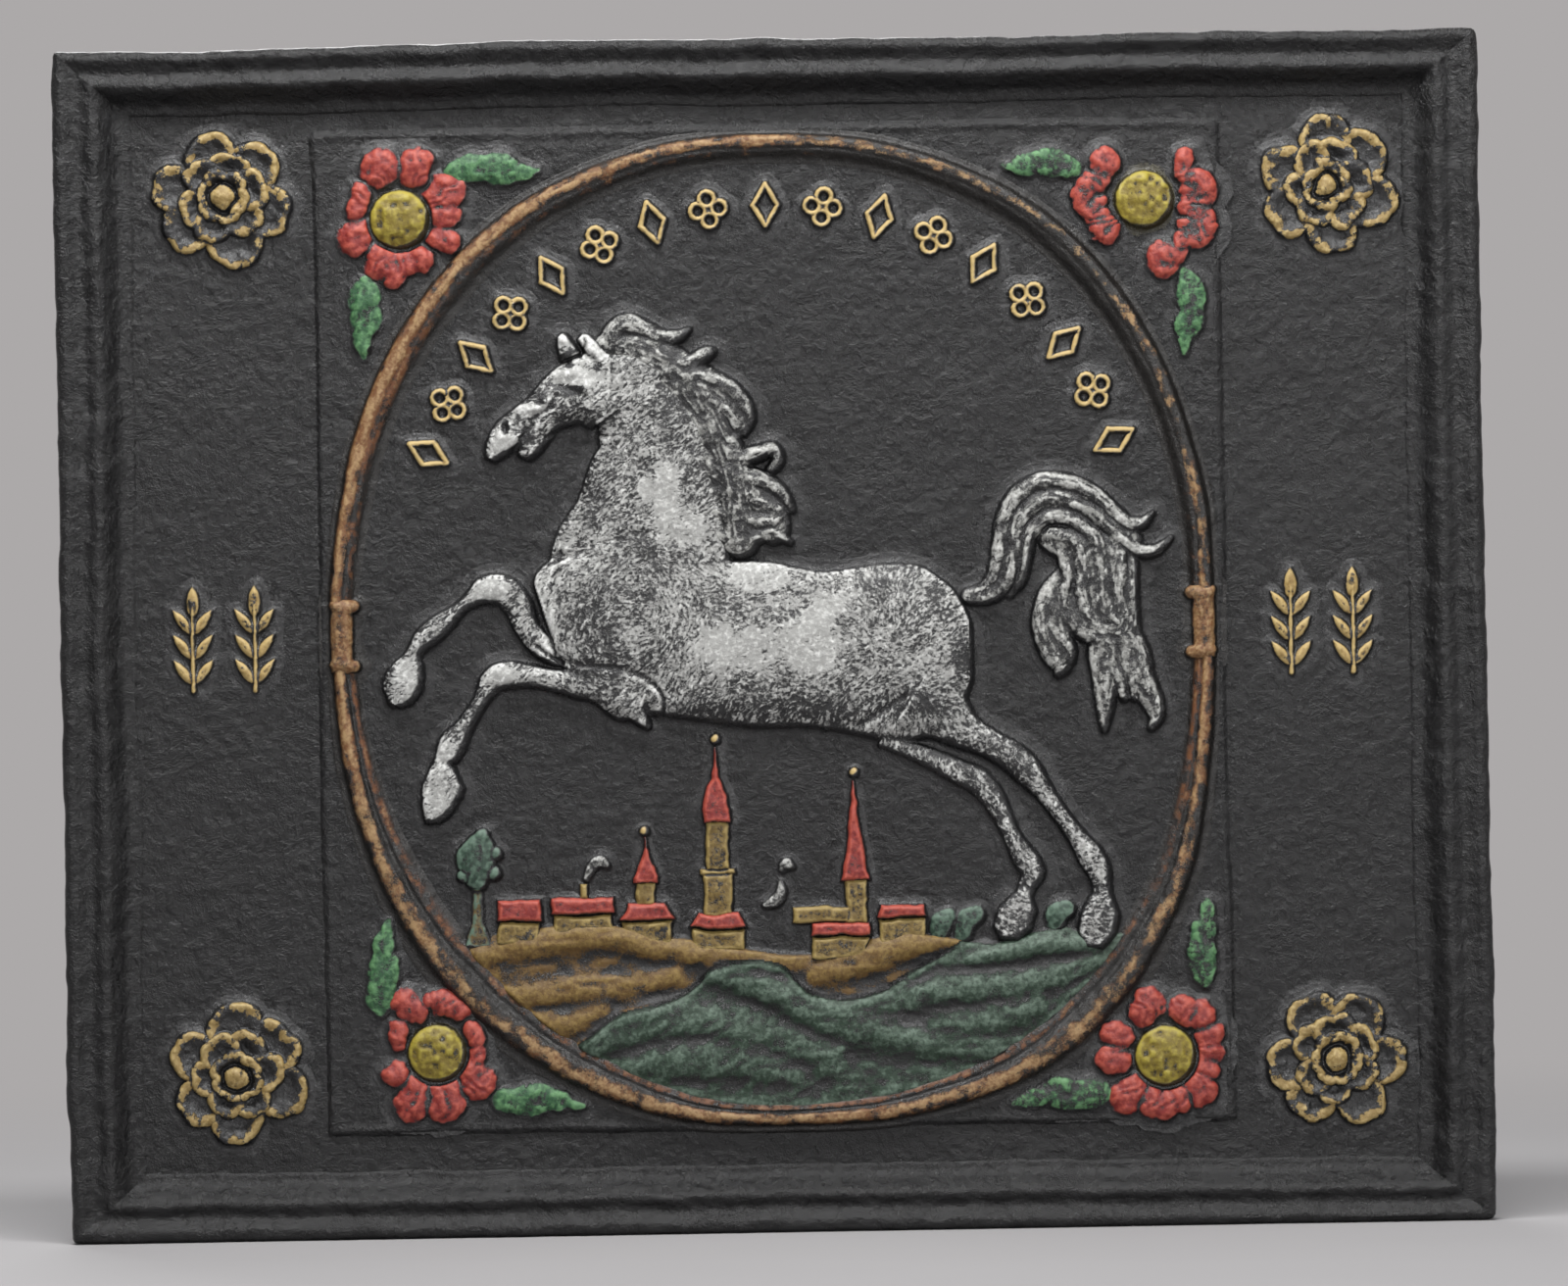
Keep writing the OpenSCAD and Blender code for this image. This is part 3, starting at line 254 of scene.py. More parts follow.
# From the back's inner overlap round the outer edge to the field: share of the width, height in mm
RAIL_CURVE = np.array([
    [0.5, -SLAB_THICK + 0.6], [0.06, -SLAB_THICK + 0.1], [0.02, -SLAB_THICK + 0.3],
    [0, -SLAB_THICK + 1.6], [0, -SLAB_THICK + 3], [0.002, -2], [0.0, 4], [0.006, 6.8], [0.03, 8.8],
    [0.08, 9.9], [0.14, 10.3], [0.19, 10.1], [0.25, 9.3], [0.32, 8.4], [0.39, 7.8], [0.46, 8.0],
    [0.52, 8.7], [0.58, 9.3], [0.63, 9.4], [0.69, 8.7], [0.76, 7.0], [0.83, 4.9], [0.89, 3.1],
    [0.95, 1.8], [1.0, 1.2], [1.05, 0.9], [1.1, 0.8], [1.13, 0.5], [1.16, -0.3], [1.19, -0.9]])
RAIL_NOMINAL = 26
RAIL_STEP, PROFILE_STEP = 2.2, 0.8
CORNER_R = 5
# How far the outer edge may stray past the plate's size, and the ridge past the moulding's height
EDGE_STRAY, RIDGE_STRAY = 1.5, 0.4


def along_curve(points, runs, wanted):
    """Smooth values at these distances along a curve that is given by its points"""
    slope = np.gradient(points, runs)
    k = np.clip(np.searchsorted(runs, wanted) - 1, 0, len(runs) - 2)
    width = runs[k + 1] - runs[k]
    t = (wanted - runs[k]) / width
    return ((2 * t**3 - 3 * t**2 + 1) * points[k] + (t**3 - 2 * t**2 + t) * width * slope[k]
            + (3 * t**2 - 2 * t**3) * points[k + 1] + (t**3 - t**2) * width * slope[k + 1])


run = np.hypot(np.diff(RAIL_CURVE[:, 0]) * RAIL_NOMINAL, np.diff(RAIL_CURVE[:, 1]))
run = np.concatenate([[0], np.cumsum(run)])
even = np.concatenate([[0, 3, 6, 9], np.arange(11, run[-1], PROFILE_STEP), [run[-1]]])
share = along_curve(RAIL_CURVE[:, 0], run, even)
lift = np.clip(along_curve(RAIL_CURVE[:, 1], run, even), -SLAB_THICK + 0.05, RAIL_RISE)
# Each rail starts at a corner and runs to the next, and its field lies to the left of its way
RAILS = [("bottom", (-HALF_WIDTH, 0), (1, 0), 2 * HALF_WIDTH, CROSS_RAIL, SIDE_RAIL),
         ("right", (HALF_WIDTH, 0), (0, 1), TOP, SIDE_RAIL, CROSS_RAIL),
         ("top", (HALF_WIDTH, TOP), (-1, 0), 2 * HALF_WIDTH, CROSS_RAIL, SIDE_RAIL),
         ("left", (-HALF_WIDTH, TOP), (0, -1), TOP, SIDE_RAIL, CROSS_RAIL)]
for side, start, way, length, width, mitre in RAILS:
    t = np.linspace(0, 1, int(length / RAIL_STEP) + 1)[None, :]
    inward = share[:, None]
    reach = inward * mitre * (1 - t) + (length - inward * mitre) * t
    across = inward * width + 0 * t
    x = start[0] + way[0] * reach - way[1] * across
    z = start[1] + way[1] * reach + way[0] * across
    up = lift[:, None] + 0 * t
    above = ease((up + 1) / 4)
    wobble_x = waves(x, z, (0.9, 85, 21), (0.5, 22, 22), (0.25, 7, 29))
    wobble_z = waves(x, z, (0.9, 85, 23), (0.5, 22, 24), (0.25, 7, 30))
    edge_dent = 0.5 * np.abs(rough(x, z, 15, 25)) * (1 - inward) ** 4 * (1 - ease((-2 - up) / 3))
    dents = 0.7 * rough(x, z, 11, 26) + 0.35 * swell(x, z, 40, 27) + 0.4 * rough(x, z, 4.4, 28)
    up = up + above * dents + ground(x, z) * ease(1 - up / 3) * above
    up = np.minimum(up - edge_dent, RAIL_RISE + RIDGE_STRAY)
    x = x + wobble_x + edge_dent * np.sign(-x) * (abs(way[1]) > 0)
    x = np.clip(x, -HALF_WIDTH - EDGE_STRAY, HALF_WIDTH + EDGE_STRAY)
    z = np.clip(z + wobble_z * (z > 3) - edge_dent * (z > TOP / 2) * abs(way[0]), 0, TOP + EDGE_STRAY)
    # The plate's outer corners are rounded off
    past_x = np.maximum(np.abs(x) - HALF_WIDTH + CORNER_R, 0)
    past_z = np.maximum(np.abs(z - TOP / 2) - TOP / 2 + CORNER_R, 0)
    off = np.hypot(past_x, past_z)
    in_corner = (past_x > 0) & (past_z > 0) & (off > CORNER_R)
    pull = np.where(in_corner, 1 - CORNER_R / np.maximum(off, 0.1), 0)
    x, z = x - np.sign(x) * past_x * pull, z - np.sign(z - TOP / 2) * past_z * pull
    points = np.stack([x, SLAB_FACE - up, z], -1).reshape(-1, 3)
    set_down(side + "_frame", points, weave_quads(*x.shape), {}, IRON, [side + "_moulding"])


# The centre panel: a thin raised sheet behind the oval, with a soft bead along its edges and a
# shallow groove outside them, where the pattern board was pressed into the sand.
PANEL_LOW, PANEL_HIGH = box_mm("centre_panel")
PANEL_RISE = SLAB_FACE - PANEL_LOW[1]
PANEL_STEP = 1.4
PANEL_MARGIN = 5
GROOVE_DEPTH = 0.35
x, z = np.meshgrid(np.arange(PANEL_LOW[0] - PANEL_MARGIN, PANEL_HIGH[0] + PANEL_MARGIN, PANEL_STEP),
                   np.arange(PANEL_LOW[2] - PANEL_MARGIN, PANEL_HIGH[2] + PANEL_MARGIN, PANEL_STEP))
inset = np.minimum(
    np.minimum(x - PANEL_LOW[0], PANEL_HIGH[0] - x) + waves(x, z, (0.8, 60, 31), (0.3, 14, 32)),
    np.minimum(z - PANEL_LOW[2], PANEL_HIGH[2] - z) + waves(x, z, (0.8, 60, 33), (0.3, 14, 34)))
up = (PANEL_RISE + GROOVE_DEPTH) * ease((inset + 1.2) / 2.2) - GROOVE_DEPTH
up += 0.45 * bell(inset - 1.8, 1.1) - 0.25 * bell(inset - 5, 1.6) - 0.8 * ease((-2.6 - inset) / 2)
points = np.stack([x, SLAB_FACE - up - ground(x, z), z], -1).reshape(-1, 3)
set_down("panel_sheet", points, weave_quads(*x.shape, inset > -4.6), {}, IRON, ["centre_panel"])


# The hoop: an oval band in two halves, a round outer ridge and a thinner inner one with a slot
# between. It was painted tan over the black, and the paint is worn to the crests.
OVAL_A, OVAL_B, OVAL_Z = 186, 208.5, 253.5
HOOP_BAND = 9
HOOP_RISE = 5
# How square the oval is in each quarter, from the upper right round to the left
OVAL_POWERS = np.array([2.3, 2.22, 2.2, 2.62])
OPENING_POWERS = np.array([2.25, 2.15, 1.92, 2.3])
# Across the band, from the opening outwards: place and height in mm
HOOP_CURVE = np.array([
    [-4.5, -0.8], [-3.0, 0.15], [-1.5, 0.4], [-0.4, 1.0], [0.4, 1.9], [1.3, 2.9], [2.2, 3.7], [3.1, 4.3],
    [3.9, 4.65], [4.5, 4.8], [5.2, 4.95], [6.2, 5.0], [7.2, 4.8], [8.1, 4.2], [8.8, 2.9], [9.3, 1.3],
    [10.2, 0.4], [11.6, 0.15], [12.6, -0.8]])
HOOP_STEP = 0.5
HOOP_STEPS_PER_DEGREE = 3.1
# Where the slot runs, where the lighter line of the paint runs along the crest, partly a painted highlight,
# and where the inner ridge ends
SLOT_AT, LINE_AT, INNER_END = 3.4, 6.4, 4.6
# Where round the oval the paint is thinner or, below zero, thicker: direction, spread and amount
THIN_SPOTS = [(50, 36, 0.52), (228, 26, 0.2), (318, 22, 0.24), (272, 24, 0.08), (155, 26, -0.16),
              (355, 20, -0.1)]


def oval(a, b, turn, powers=OVAL_POWERS):
    """Points of a hand-drawn oval with these half sizes, in these directions in degrees"""
    turn = np.asarray(turn) % 360
    power = powers[(turn // 90).astype(int)]
    c, s = np.cos(np.radians(turn)), np.sin(np.radians(turn))
    reach = ((np.abs(c) / a) ** power + (np.abs(s) / b) ** power) ** (-1 / power)
    return reach * c, reach * s + OVAL_Z


# Worn Paint: thick on what stands proud, worn or missed in the hollows, with the grain through it. The pale
# colour on the crests is a painted highlight, mixed with a random tone
tree, given, told = shader_group("Worn Paint", [
    ("Paint", "Color", (0.5, 0.5, 0.5, 1)), ("Pale", "Color", (0.8, 0.8, 0.8, 1)),
    ("Under", "Color", color(20, 20, 21)), ("Cover", "Float", 1.0), ("Crest", "Float", 0.0),
    ("Wear", "Float", 0.5), ("Patchiness", "Float", 1.0), ("Size", "Float", 900.0),
    ("Softness", "Float", 0.22), ("Bare Roughness", "Float", 0.45), ("Bare Height", "Float", 0.5)])
place = add(tree, "TexCoord").outputs["Object"]
speck = noise(tree, place, Scale=given["Size"], Detail=5.0, Roughness=0.62, Distortion=0.8)
patch = noise(tree, place, Scale=sums(tree, "MULTIPLY", given["Size"], 0.16), Detail=3.0)
tone = noise(tree, place, Scale=sums(tree, "MULTIPLY", given["Size"], 0.4), Detail=4.0, Distortion=0.5)
level = sums(tree, "MULTIPLY_ADD", sums(tree, "SUBTRACT", speck, 0.5), 2.4, given["Crest"])
level = sums(tree, "MULTIPLY_ADD", sums(tree, "SUBTRACT", patch, 0.5), given["Patchiness"], level)
level = sums(tree, "SUBTRACT", level, sums(tree, "MULTIPLY_ADD", given["Wear"], 2.0, -1.0))
laid = between(tree, level, low=sums(tree, "MULTIPLY", given["Softness"], -1.0), high=given["Softness"])
laid = sums(tree, "MULTIPLY", laid, given["Cover"], clamp=True)
# The paint turns pale on the crests as a painted highlight, and at random with the tone
light = between(tree, sums(tree, "MULTIPLY_ADD", given["Crest"], 0.35, tone), low=0.42, high=0.95)
paint = blend(tree, light, given["Paint"], given["Pale"])
tree.links.new(blend(tree, laid, given["Under"], paint), told["Color"])
bare = sums(tree, "SUBTRACT", 1.0, laid)
bare_roughness = sums(tree, "MULTIPLY", bare, given["Bare Roughness"])
tree.links.new(sums(tree, "MULTIPLY_ADD", laid, 0.56, bare_roughness), told["Roughness"])
relief = sums(tree, "MULTIPLY", given["Bare Height"], sums(tree, "MULTIPLY_ADD", bare, 0.6, 0.4))
relief = sums(tree, "MULTIPLY_ADD", speck, 0.3, relief)
tree.links.new(sums(tree, "MULTIPLY_ADD", laid, 0.3, relief), told["Height"])
WORN_PAINT = tree
# How much paler the dusty bloom is than the iron under the paint, in screen values
BLOOM_STEP = 40


def painted(name, paint, pale, wear=0.5, size=900.0, patchiness=1.0, under=(20, 20, 21), shine=0.5,
            softness=0.22, tinge=None):
    """Worn paint over cast iron, led by the piece's own cover, crest, wear and tinge. A larger size has
    finer specks, patchiness is how uneven the wear is, and softness how gently the paint ends"""
    material, tree = new_material(name)

    def layer(key):
        return add(tree, "Attribute", attribute_name=key).outputs["Fac"]

    bloom = color(*[v + BLOOM_STEP for v in under])
    skin = add(tree, "Group", {"Iron": color(*under), "Bloom": bloom}, node_tree=CAST_SKIN)
    coat = add(tree, "Group", {
        "Paint": blend(tree, layer("tinge"), color(*paint), color(*tinge)) if tinge else color(*paint),
        "Pale": color(*pale), "Patchiness": patchiness, "Size": size, "Softness": softness,
        "Cover": layer("cover"), "Crest": layer("crest"), "Wear": sums(tree, "ADD", layer("wear"), wear),
        "Under": skin.outputs["Color"], "Bare Roughness": skin.outputs["Roughness"],
        "Bare Height": skin.outputs["Height"]}, node_tree=WORN_PAINT)
    wear_skin(tree, coat, depth=0.6, shine=shine)
    return material


BROWN = painted("Tan paint on the hoop", (100, 62, 28), (152, 124, 86), wear=0.545, size=1700.0,
                patchiness=1.8, softness=0.34, under=(18, 16, 14), tinge=(92, 52, 20))
out = np.arange(HOOP_CURVE[0, 0], HOOP_CURVE[-1, 0], HOOP_STEP)[:, None]
profile = along_curve(HOOP_CURVE[:, 1], HOOP_CURVE[:, 0], out[:, 0])[:, None]


def hoop_band(name, start, end, node):
    """Half of the hoop between two directions, ending under the clasps"""
    turn = np.linspace(start, end, int((end - start) * HOOP_STEPS_PER_DEGREE))[None, :]
    inner_x, inner_z = oval(OVAL_A - HOOP_BAND, OVAL_B - HOOP_BAND, turn, OPENING_POWERS)
    outer_x, outer_z = oval(OVAL_A, OVAL_B, turn)
    x = inner_x + (outer_x - inner_x) * out / HOOP_BAND
    z = inner_z + (outer_z - inner_z) * out / HOOP_BAND
    x, z = x + 0.7 * swell(x, z, 38, 41) + 0.2 * swell(x, z, 9, 42), z + 0.7 * swell(x, z, 38, 43)
    # The slot is deeper low on the oval, and the band's inner side stands lower there
    low = ease((OVAL_Z - z) / 160 + 0.5)
    slot = bell(out - SLOT_AT - 0.4 * swell(x, z, 30, 48), 0.8)
    up = profile - slot * (0.5 + 1.6 * low) - 0.6 * low * ease((SLOT_AT - out) / 1.5)
    # Brush and wear left streaks along the band
    streak = swell(3.3 * turn / 5 + 0.4 * rough(x, z, 6, 57), out / 1.2 + 0 * turn, 1.0, 56)
    worked = 0.15 * rough(x, z, 7, 44) + 0.25 * swell(x, z, 24, 45) + 0.15 * streak
    up = np.minimum(up + ease(profile / 2) * worked, HOOP_RISE + 0.3)
    inner = ease((INNER_END - out) / 1.4)
    line = bell(out - LINE_AT - 0.7 * swell(x, z, 26, 47), 1.3)
    crest = (0.35 * (1 - inner) + 0.4 * line) * ease((9.4 - out) / 1.8) - 0.2 * inner
    crest = crest - 1.3 * slot * low - 0.15
    crest = crest + 0.3 * rough(x, z, 4, 53) + 0.3 * rough(x, z, 1.8, 55) + 0.42 * streak
    # At the right the inner side carries the paint instead
    right = ease((np.cos(np.radians(turn)) - 0.78) / 0.15)
    crest = crest + right * (0.55 * bell(out - 3.8, 1.4) - 0.55 * ease((out - 5) / 1.6))
    thin = sum(amount * bell(turn - middle, spread) for middle, spread, amount in THIN_SPOTS)
    layers = {"cover": ease((out - 0.1) / 1.2) * ease((9.3 - out) / 0.9) + 0 * x, "crest": crest,
              "wear": 0.14 * rough(x, z, 34, 46) - 0.06 + thin - 0.3 * low * inner,
              "tinge": inner + 0.3 * rough(x, z, 24, 49)}
    points = np.stack([x, SLAB_FACE - PANEL_RISE - up - ground(x, z), z], -1)[:, ::-1].reshape(-1, 3)
    layers = {key: values[:, ::-1].ravel() for key, values in layers.items()}
    set_down(name, points, weave_quads(*x.shape), layers, BROWN, [node])


CLASP_HALF = 15.5
CLASP_TURN = math.degrees(math.atan2(CLASP_HALF, OVAL_A))
# How far each end of a band runs under its clasp, in degrees
BAND_LAP = 1.5
hoop_band("upper_hoop_band", CLASP_TURN - BAND_LAP, 180 - CLASP_TURN + BAND_LAP, "upper_hoop")
hoop_band("lower_hoop_band", 180 + CLASP_TURN - BAND_LAP, 360 - CLASP_TURN + BAND_LAP, "lower_hoop")


# The clasps: flat pieces that close the hoop on both sides, each with two lugs on the inner side.
# They are carved like all that follows: on a grid that keeps each point's height and its distance
# from the pattern's edge, and with the fillet that the sand leaves round its foot.
def spline(stations, steps):
    """A smooth curve through stations, each a row of numbers"""
    s = np.array(stations, dtype=float)
    last = len(s) - 1
    rows = []
    for i in range(last):
        a, b, c, d = s[max(i - 1, 0)], s[i], s[i + 1], s[min(i + 2, last)]
        for t in np.arange(steps) / steps:
            rows.append(0.5 * (2 * b + (c - a) * t + (2 * a - 5 * b + 4 * c - d) * t**2
                               + (3 * b - a - 3 * c + d) * t**3))
    return np.array(rows + [s[-1]])


def soften(values, spread):
    """The values smoothed over this many grid points"""
    half = int(math.ceil(spread * 2.2))
    weights = np.exp(-0.5 * (np.arange(-half, half + 1) / spread) ** 2)
    weights /= weights.sum()
    for axis in (0, 1):
        padded = np.pad(values, [(half, half) if k == axis else (0, 0) for k in (0, 1)], mode="edge")
        length = values.shape[axis]
        values = sum(w * np.take(padded, np.arange(k, k + length), axis) for k, w in enumerate(weights))
    return values


def from_line(x, z, a, b):
    """How far points lie from the straight line between a and b"""
    span = b - a
    t = np.clip(((x - a[0]) * span[0] + (z - a[1]) * span[1]) / max(span @ span, 1e-9), 0, 1)
    return np.hypot(x - a[0] - t * span[0], z - a[1] - t * span[1])


class Carving:
    """A pattern on a grid over part of the plate: heights in mm above what it lies on"""
    # A distance that counts as far from any form, and how far round a form it is measured
    FAR, ROUND = 40.0, 7

    def __init__(self, left, right, foot, head, step):
        self.step = step
        self.left, self.foot = left, foot
        self.x, self.z = np.meshgrid(np.arange(left, right + step, step), np.arange(foot, head + step, step))
        self.height = np.zeros_like(self.x)
        self.beyond = np.full_like(self.x, self.FAR)
        self.along = np.zeros_like(self.x)
        self.across = np.zeros_like(self.x)

    def near(self, line, reach):
        """The part of the grid that is this close to some points"""
        rows, cols = self.x.shape
        low, high = line[:, :2].min(0) - reach, line[:, :2].max(0) + reach
        i = np.clip([(low[1] - self.foot) / self.step, (high[1] - self.foot) / self.step + 1], 0, rows)
        j = np.clip([(low[0] - self.left) / self.step, (high[0] - self.left) / self.step + 1], 0, cols)
        return slice(*i.astype(int)), slice(*j.astype(int))

    def stray(self, broad, fine, seeds):
        """Moves the grid to and fro until it is settled, so that outlines on it look cut by hand:
        broad and fine are amounts and sizes"""
        x, z = self.true_grid = self.x, self.z
        self.x = x + waves(x, z, (*broad, seeds[0]), (*fine, seeds[1]))
        self.z = z + waves(x, z, (*broad, seeds[2]), (*fine, seeds[3]))

    def settle(self):
        """Puts the grid back in its place"""
        self.x, self.z = self.true_grid

    def merge(self, part, height, beyond, melt, along=None, across=None):
        """Joins a form to what is carved already, melting one into the other where they meet"""
        old = self.height[part]
        if along is not None:
            higher = height > old
            self.along[part] = np.where(higher, along, self.along[part])
            self.across[part] = np.where(higher, across, self.across[part])
        near = np.clip(melt - np.abs(old - height), 0, melt) / melt
        near = np.where(np.minimum(old, height) > 0, near, 0)
        self.height[part] = np.maximum(old, height) + near * near * melt / 4
        self.beyond[part] = np.minimum(self.beyond[part], beyond)

    def rib(self, stations, rise=1.0, fullness=0.42, melt=1.0, steps=4, flat=False):
        """A rounded rib through stations of x, z, half width and share of the rise, with round ends and
        joints, or with flat sections that stand across its path"""
        line = spline(stations, steps)
        line[:, 2] = np.maximum(line[:, 2], 0.3)
        ways = np.gradient(line[:, :2], axis=0)
        ways /= np.maximum(np.hypot(ways[:, 0], ways[:, 1]), 1e-9)[:, None]
        height, beyond = np.zeros_like(self.x), np.full_like(self.x, self.FAR)
        along, across = np.zeros_like(self.x), np.zeros_like(self.x)
        run = 0.0
        for i, (a, b) in enumerate(zip(line, line[1:])):
            part = self.near(line[i:i + 2], max(a[2], b[2]) + self.ROUND)
            x, z = self.x[part], self.z[part]
            span = b[:2] - a[:2]
            length = max(np.hypot(*span), 1e-6)
            px, pz = x - a[0], z - a[1]
            if flat:
                past = px * ways[i, 0] + pz * ways[i, 1]
                ahead = (b[0] - x) * ways[i + 1, 0] + (b[1] - z) * ways[i + 1, 1]
                within = (past >= 0) & (ahead >= 0)
                t = np.where(within, past / np.maximum(past + ahead, 1e-6), np.where(past < 0, 0.0, 1.0))
            else:
                t = np.clip((px * span[0] + pz * span[1]) / length**2, 0, 1)
            off_x, off_z = px - t * span[0], pz - t * span[1]
            away = np.hypot(off_x, off_z)
            half = a[2] + (b[2] - a[2]) * t
            here = (a[3] + (b[3] - a[3]) * t) * rise * (1 - np.clip(away / half, 0, 1) ** 2.3) ** fullness
            side = away - half
            if flat:
                short = np.where(past < 0, past, ahead)
                lateral = np.sqrt(np.maximum(away**2 - short**2, 0))
                side = np.where(within, side, np.hypot(np.maximum(lateral - half, 0), short))
                for end, inside in ((i == 0, past), (i == len(line) - 2, ahead)):
                    if end:
                        here = here * np.clip(1 - (1 - np.clip(inside / 1.6, 0, 1)) ** 2, 0, 1) ** 0.5
                        side = np.where(within, np.maximum(side, -inside), side)
                here = np.where(within, here, 0)
            higher = here > height[part]
            height[part] = np.where(higher, here, height[part])
            along[part] = np.where(higher, run + t * length, along[part])
            across[part] = np.where(higher, np.sign(span[0] * off_z - span[1] * off_x) * away, across[part])
            beyond[part] = np.minimum(beyond[part], side)
            run += length
        part = self.near(line, line[:, 2].max() + self.ROUND)
        self.merge(part, height[part], beyond[part], melt, along[part], across[part])

    def outline(self, points, rise, bevel=0.9, fullness=0.5):
        """A flat-topped form with rounded edges inside a closed outline"""
        p = np.array(points, dtype=float)
        part = self.near(p, self.ROUND)
        x, z = self.x[part], self.z[part]
        away, inside = np.full_like(x, self.FAR), np.zeros(x.shape, dtype=bool)
        for a, b in zip(p, np.roll(p, -1, 0)):
            away = np.minimum(away, from_line(x, z, a, b))
            if a[1] != b[1]:
                crosses = (a[1] > z) != (b[1] > z)
                inside ^= crosses & (x < a[0] + (z - a[1]) * (b[0] - a[0]) / (b[1] - a[1]))
        beyond = np.where(inside, -away, away)
        height = rise * (1 - (1 - np.clip(-beyond / bevel, 0, 1)) ** 2) ** fullness
        self.merge(part, height, beyond, 0.3)

    def groove(self, stations, depth, width):
        """A soft line cut into what is there, through points of x and z"""
        line = spline(stations, 5)
        part = self.near(line, width * 3)
        x, z = self.x[part], self.z[part]
        away = np.full_like(x, self.FAR)
        for a, b in zip(line, line[1:]):
            away = np.minimum(away, from_line(x, z, a, b))
        self.height[part] -= depth * bell(away, width) * ease(self.height[part] / 1.5)

    def mound(self, x, z, width, tall, amount):
        """A soft swelling, or a hollow if the amount is negative"""
        lump = np.exp(-((self.x - x) / width) ** 2 - ((self.z - z) / tall) ** 2)
        self.height += amount * lump * ease(self.height / 1.5)

    def roughen(self, amount, size, seed, foot=1.0):
        """Lets the form swell and dip where it stands higher than its foot"""
        self.height += ease(self.height / foot) * amount * rough(self.x, self.z, size, seed)

    def spots(self, spots):
        """The sum of soft spots of x, z, half width, half height and amount"""
        total = np.zeros_like(self.x)
        for x, z, width, tall, amount in spots:
            total += amount * np.exp(-(((self.x - x) / width) ** 2 + ((self.z - z) / tall) ** 2) ** 2)
        return total

    def set_down(self, name, nodes, material, slot, base, lip=0.9, lip_width=2.4, crest_size=0.9,
                 paint_edge=0.1, shade=0.9, wear=0.0, crest=1.0, layers=None):
        """Makes the piece, on a base this far up. The lip is the fillet round its foot. The paint ends
        this far inside the edge, is held further back along the lower and right edges as a painted shade, and
        lies thick on every crest, paler there as a painted highlight"""
        x, z = self.x, self.z
        away = np.maximum(self.beyond, 0)
        width = lip_width * (1 + 0.3 * swell(x, z, 17, 51))
        fillet = lip * (0.07 + 0.93 * np.exp(-away / (0.4 * lip_width)))
        fall = ease((away - width) / 0.9)
        foot = fillet * (1 - fall) - 0.9 * fall - 0.2 * np.maximum(away - width, 0)
        near = np.clip(0.5 - np.abs(self.height - foot), 0, 0.5) / 0.5
        total = np.maximum(self.height, foot) + near * near * 0.125 + ground(x, z)
        sharp = (total - soften(total, crest_size / self.step)) / 0.22
        # The paint is held back by the shade from the lower and right edges, a painted shade under each form
        drop = int(round(shade / self.step))
        below = np.pad(self.beyond, drop, mode="edge")[:-2 * drop, 2 * drop:]
        inset = -np.maximum(self.beyond, below + 0.4) - paint_edge - 0.5 * rough(x, z, 2.4, 52)
        standing = {"cover": ease((self.height - lip * 0.6) / 0.5) * ease(inset / 0.8),
                    "crest": np.clip(sharp, -2.5, 1.6) * crest, "wear": wear + 0 * x}
        standing.update(layers or {})
        quads = weave_quads(*x.shape, self.beyond < lip_width * 1.3 + 1.2)
        used, quads = np.unique(quads, return_inverse=True)
        points = np.stack([x, SLAB_FACE - base - total, z], -1).reshape(-1, 3)[used]
        standing = {key: values.ravel()[used] for key, values in standing.items()}
        return set_down(name, points, quads.reshape(-1, 4), standing, material, nodes)


CLASP_RISE = 5.5
CLASP_INNER, CLASP_OUTER = 173.5, 190
for name, sign in (("left_clasp", -1), ("right_clasp", 1)):
    edges = sorted([sign * CLASP_INNER, sign * CLASP_OUTER])
    carving = Carving(edges[0] - 4, edges[1] + 4, OVAL_Z - 23, OVAL_Z + 20, 0.45)
    turn = np.linspace(-CLASP_TURN, CLASP_TURN, 9) + (0 if sign > 0 else 180)
    outer = np.stack(oval(OVAL_A + 0.6, OVAL_B, turn), -1)
    inner = np.stack(oval(OVAL_A - HOOP_BAND - 0.6, OVAL_B, turn), -1)[::-1]
    carving.outline(np.concatenate([outer, inner]), CLASP_RISE, bevel=4)
    for foot in (OVAL_Z - CLASP_HALF + 3, OVAL_Z + CLASP_HALF - 3):
        lug = [[sign * 176.4, foot, 3, 0.8], [sign * 180, foot, 3.6, 1], [sign * 184, foot + 0.6, 3, 0.95]]
        carving.rib(lug, CLASP_RISE, melt=2.5)
    carving.roughen(0.3, 5, 47, foot=2)
    carving.roughen(0.35, 3, 55, foot=2)
    carving.set_down(name + "_plate", [name], BROWN, "brown_paint", PANEL_RISE, crest=0.25, crest_size=1.6,
                     paint_edge=-0.4, shade=0.6, wear=0.15 * rough(carving.x, carving.z, 8, 54) - 0.08,
                     layers={"tinge": 0.2 + 0.2 * rough(carving.x, carving.z, 9, 50)})


# The horse: carved in the round to a third of its depth, the chief pattern of the plate. Its coat is
# cut with short hair marks, and dry-brushed with white over the black, thickest on the flank.
SILVER = painted("White paint dry-brushed", (146, 146, 143), (222, 222, 219), wear=0.512, size=1250.0,
                 patchiness=0.9, softness=0.42)
HORSE_RISE = 9
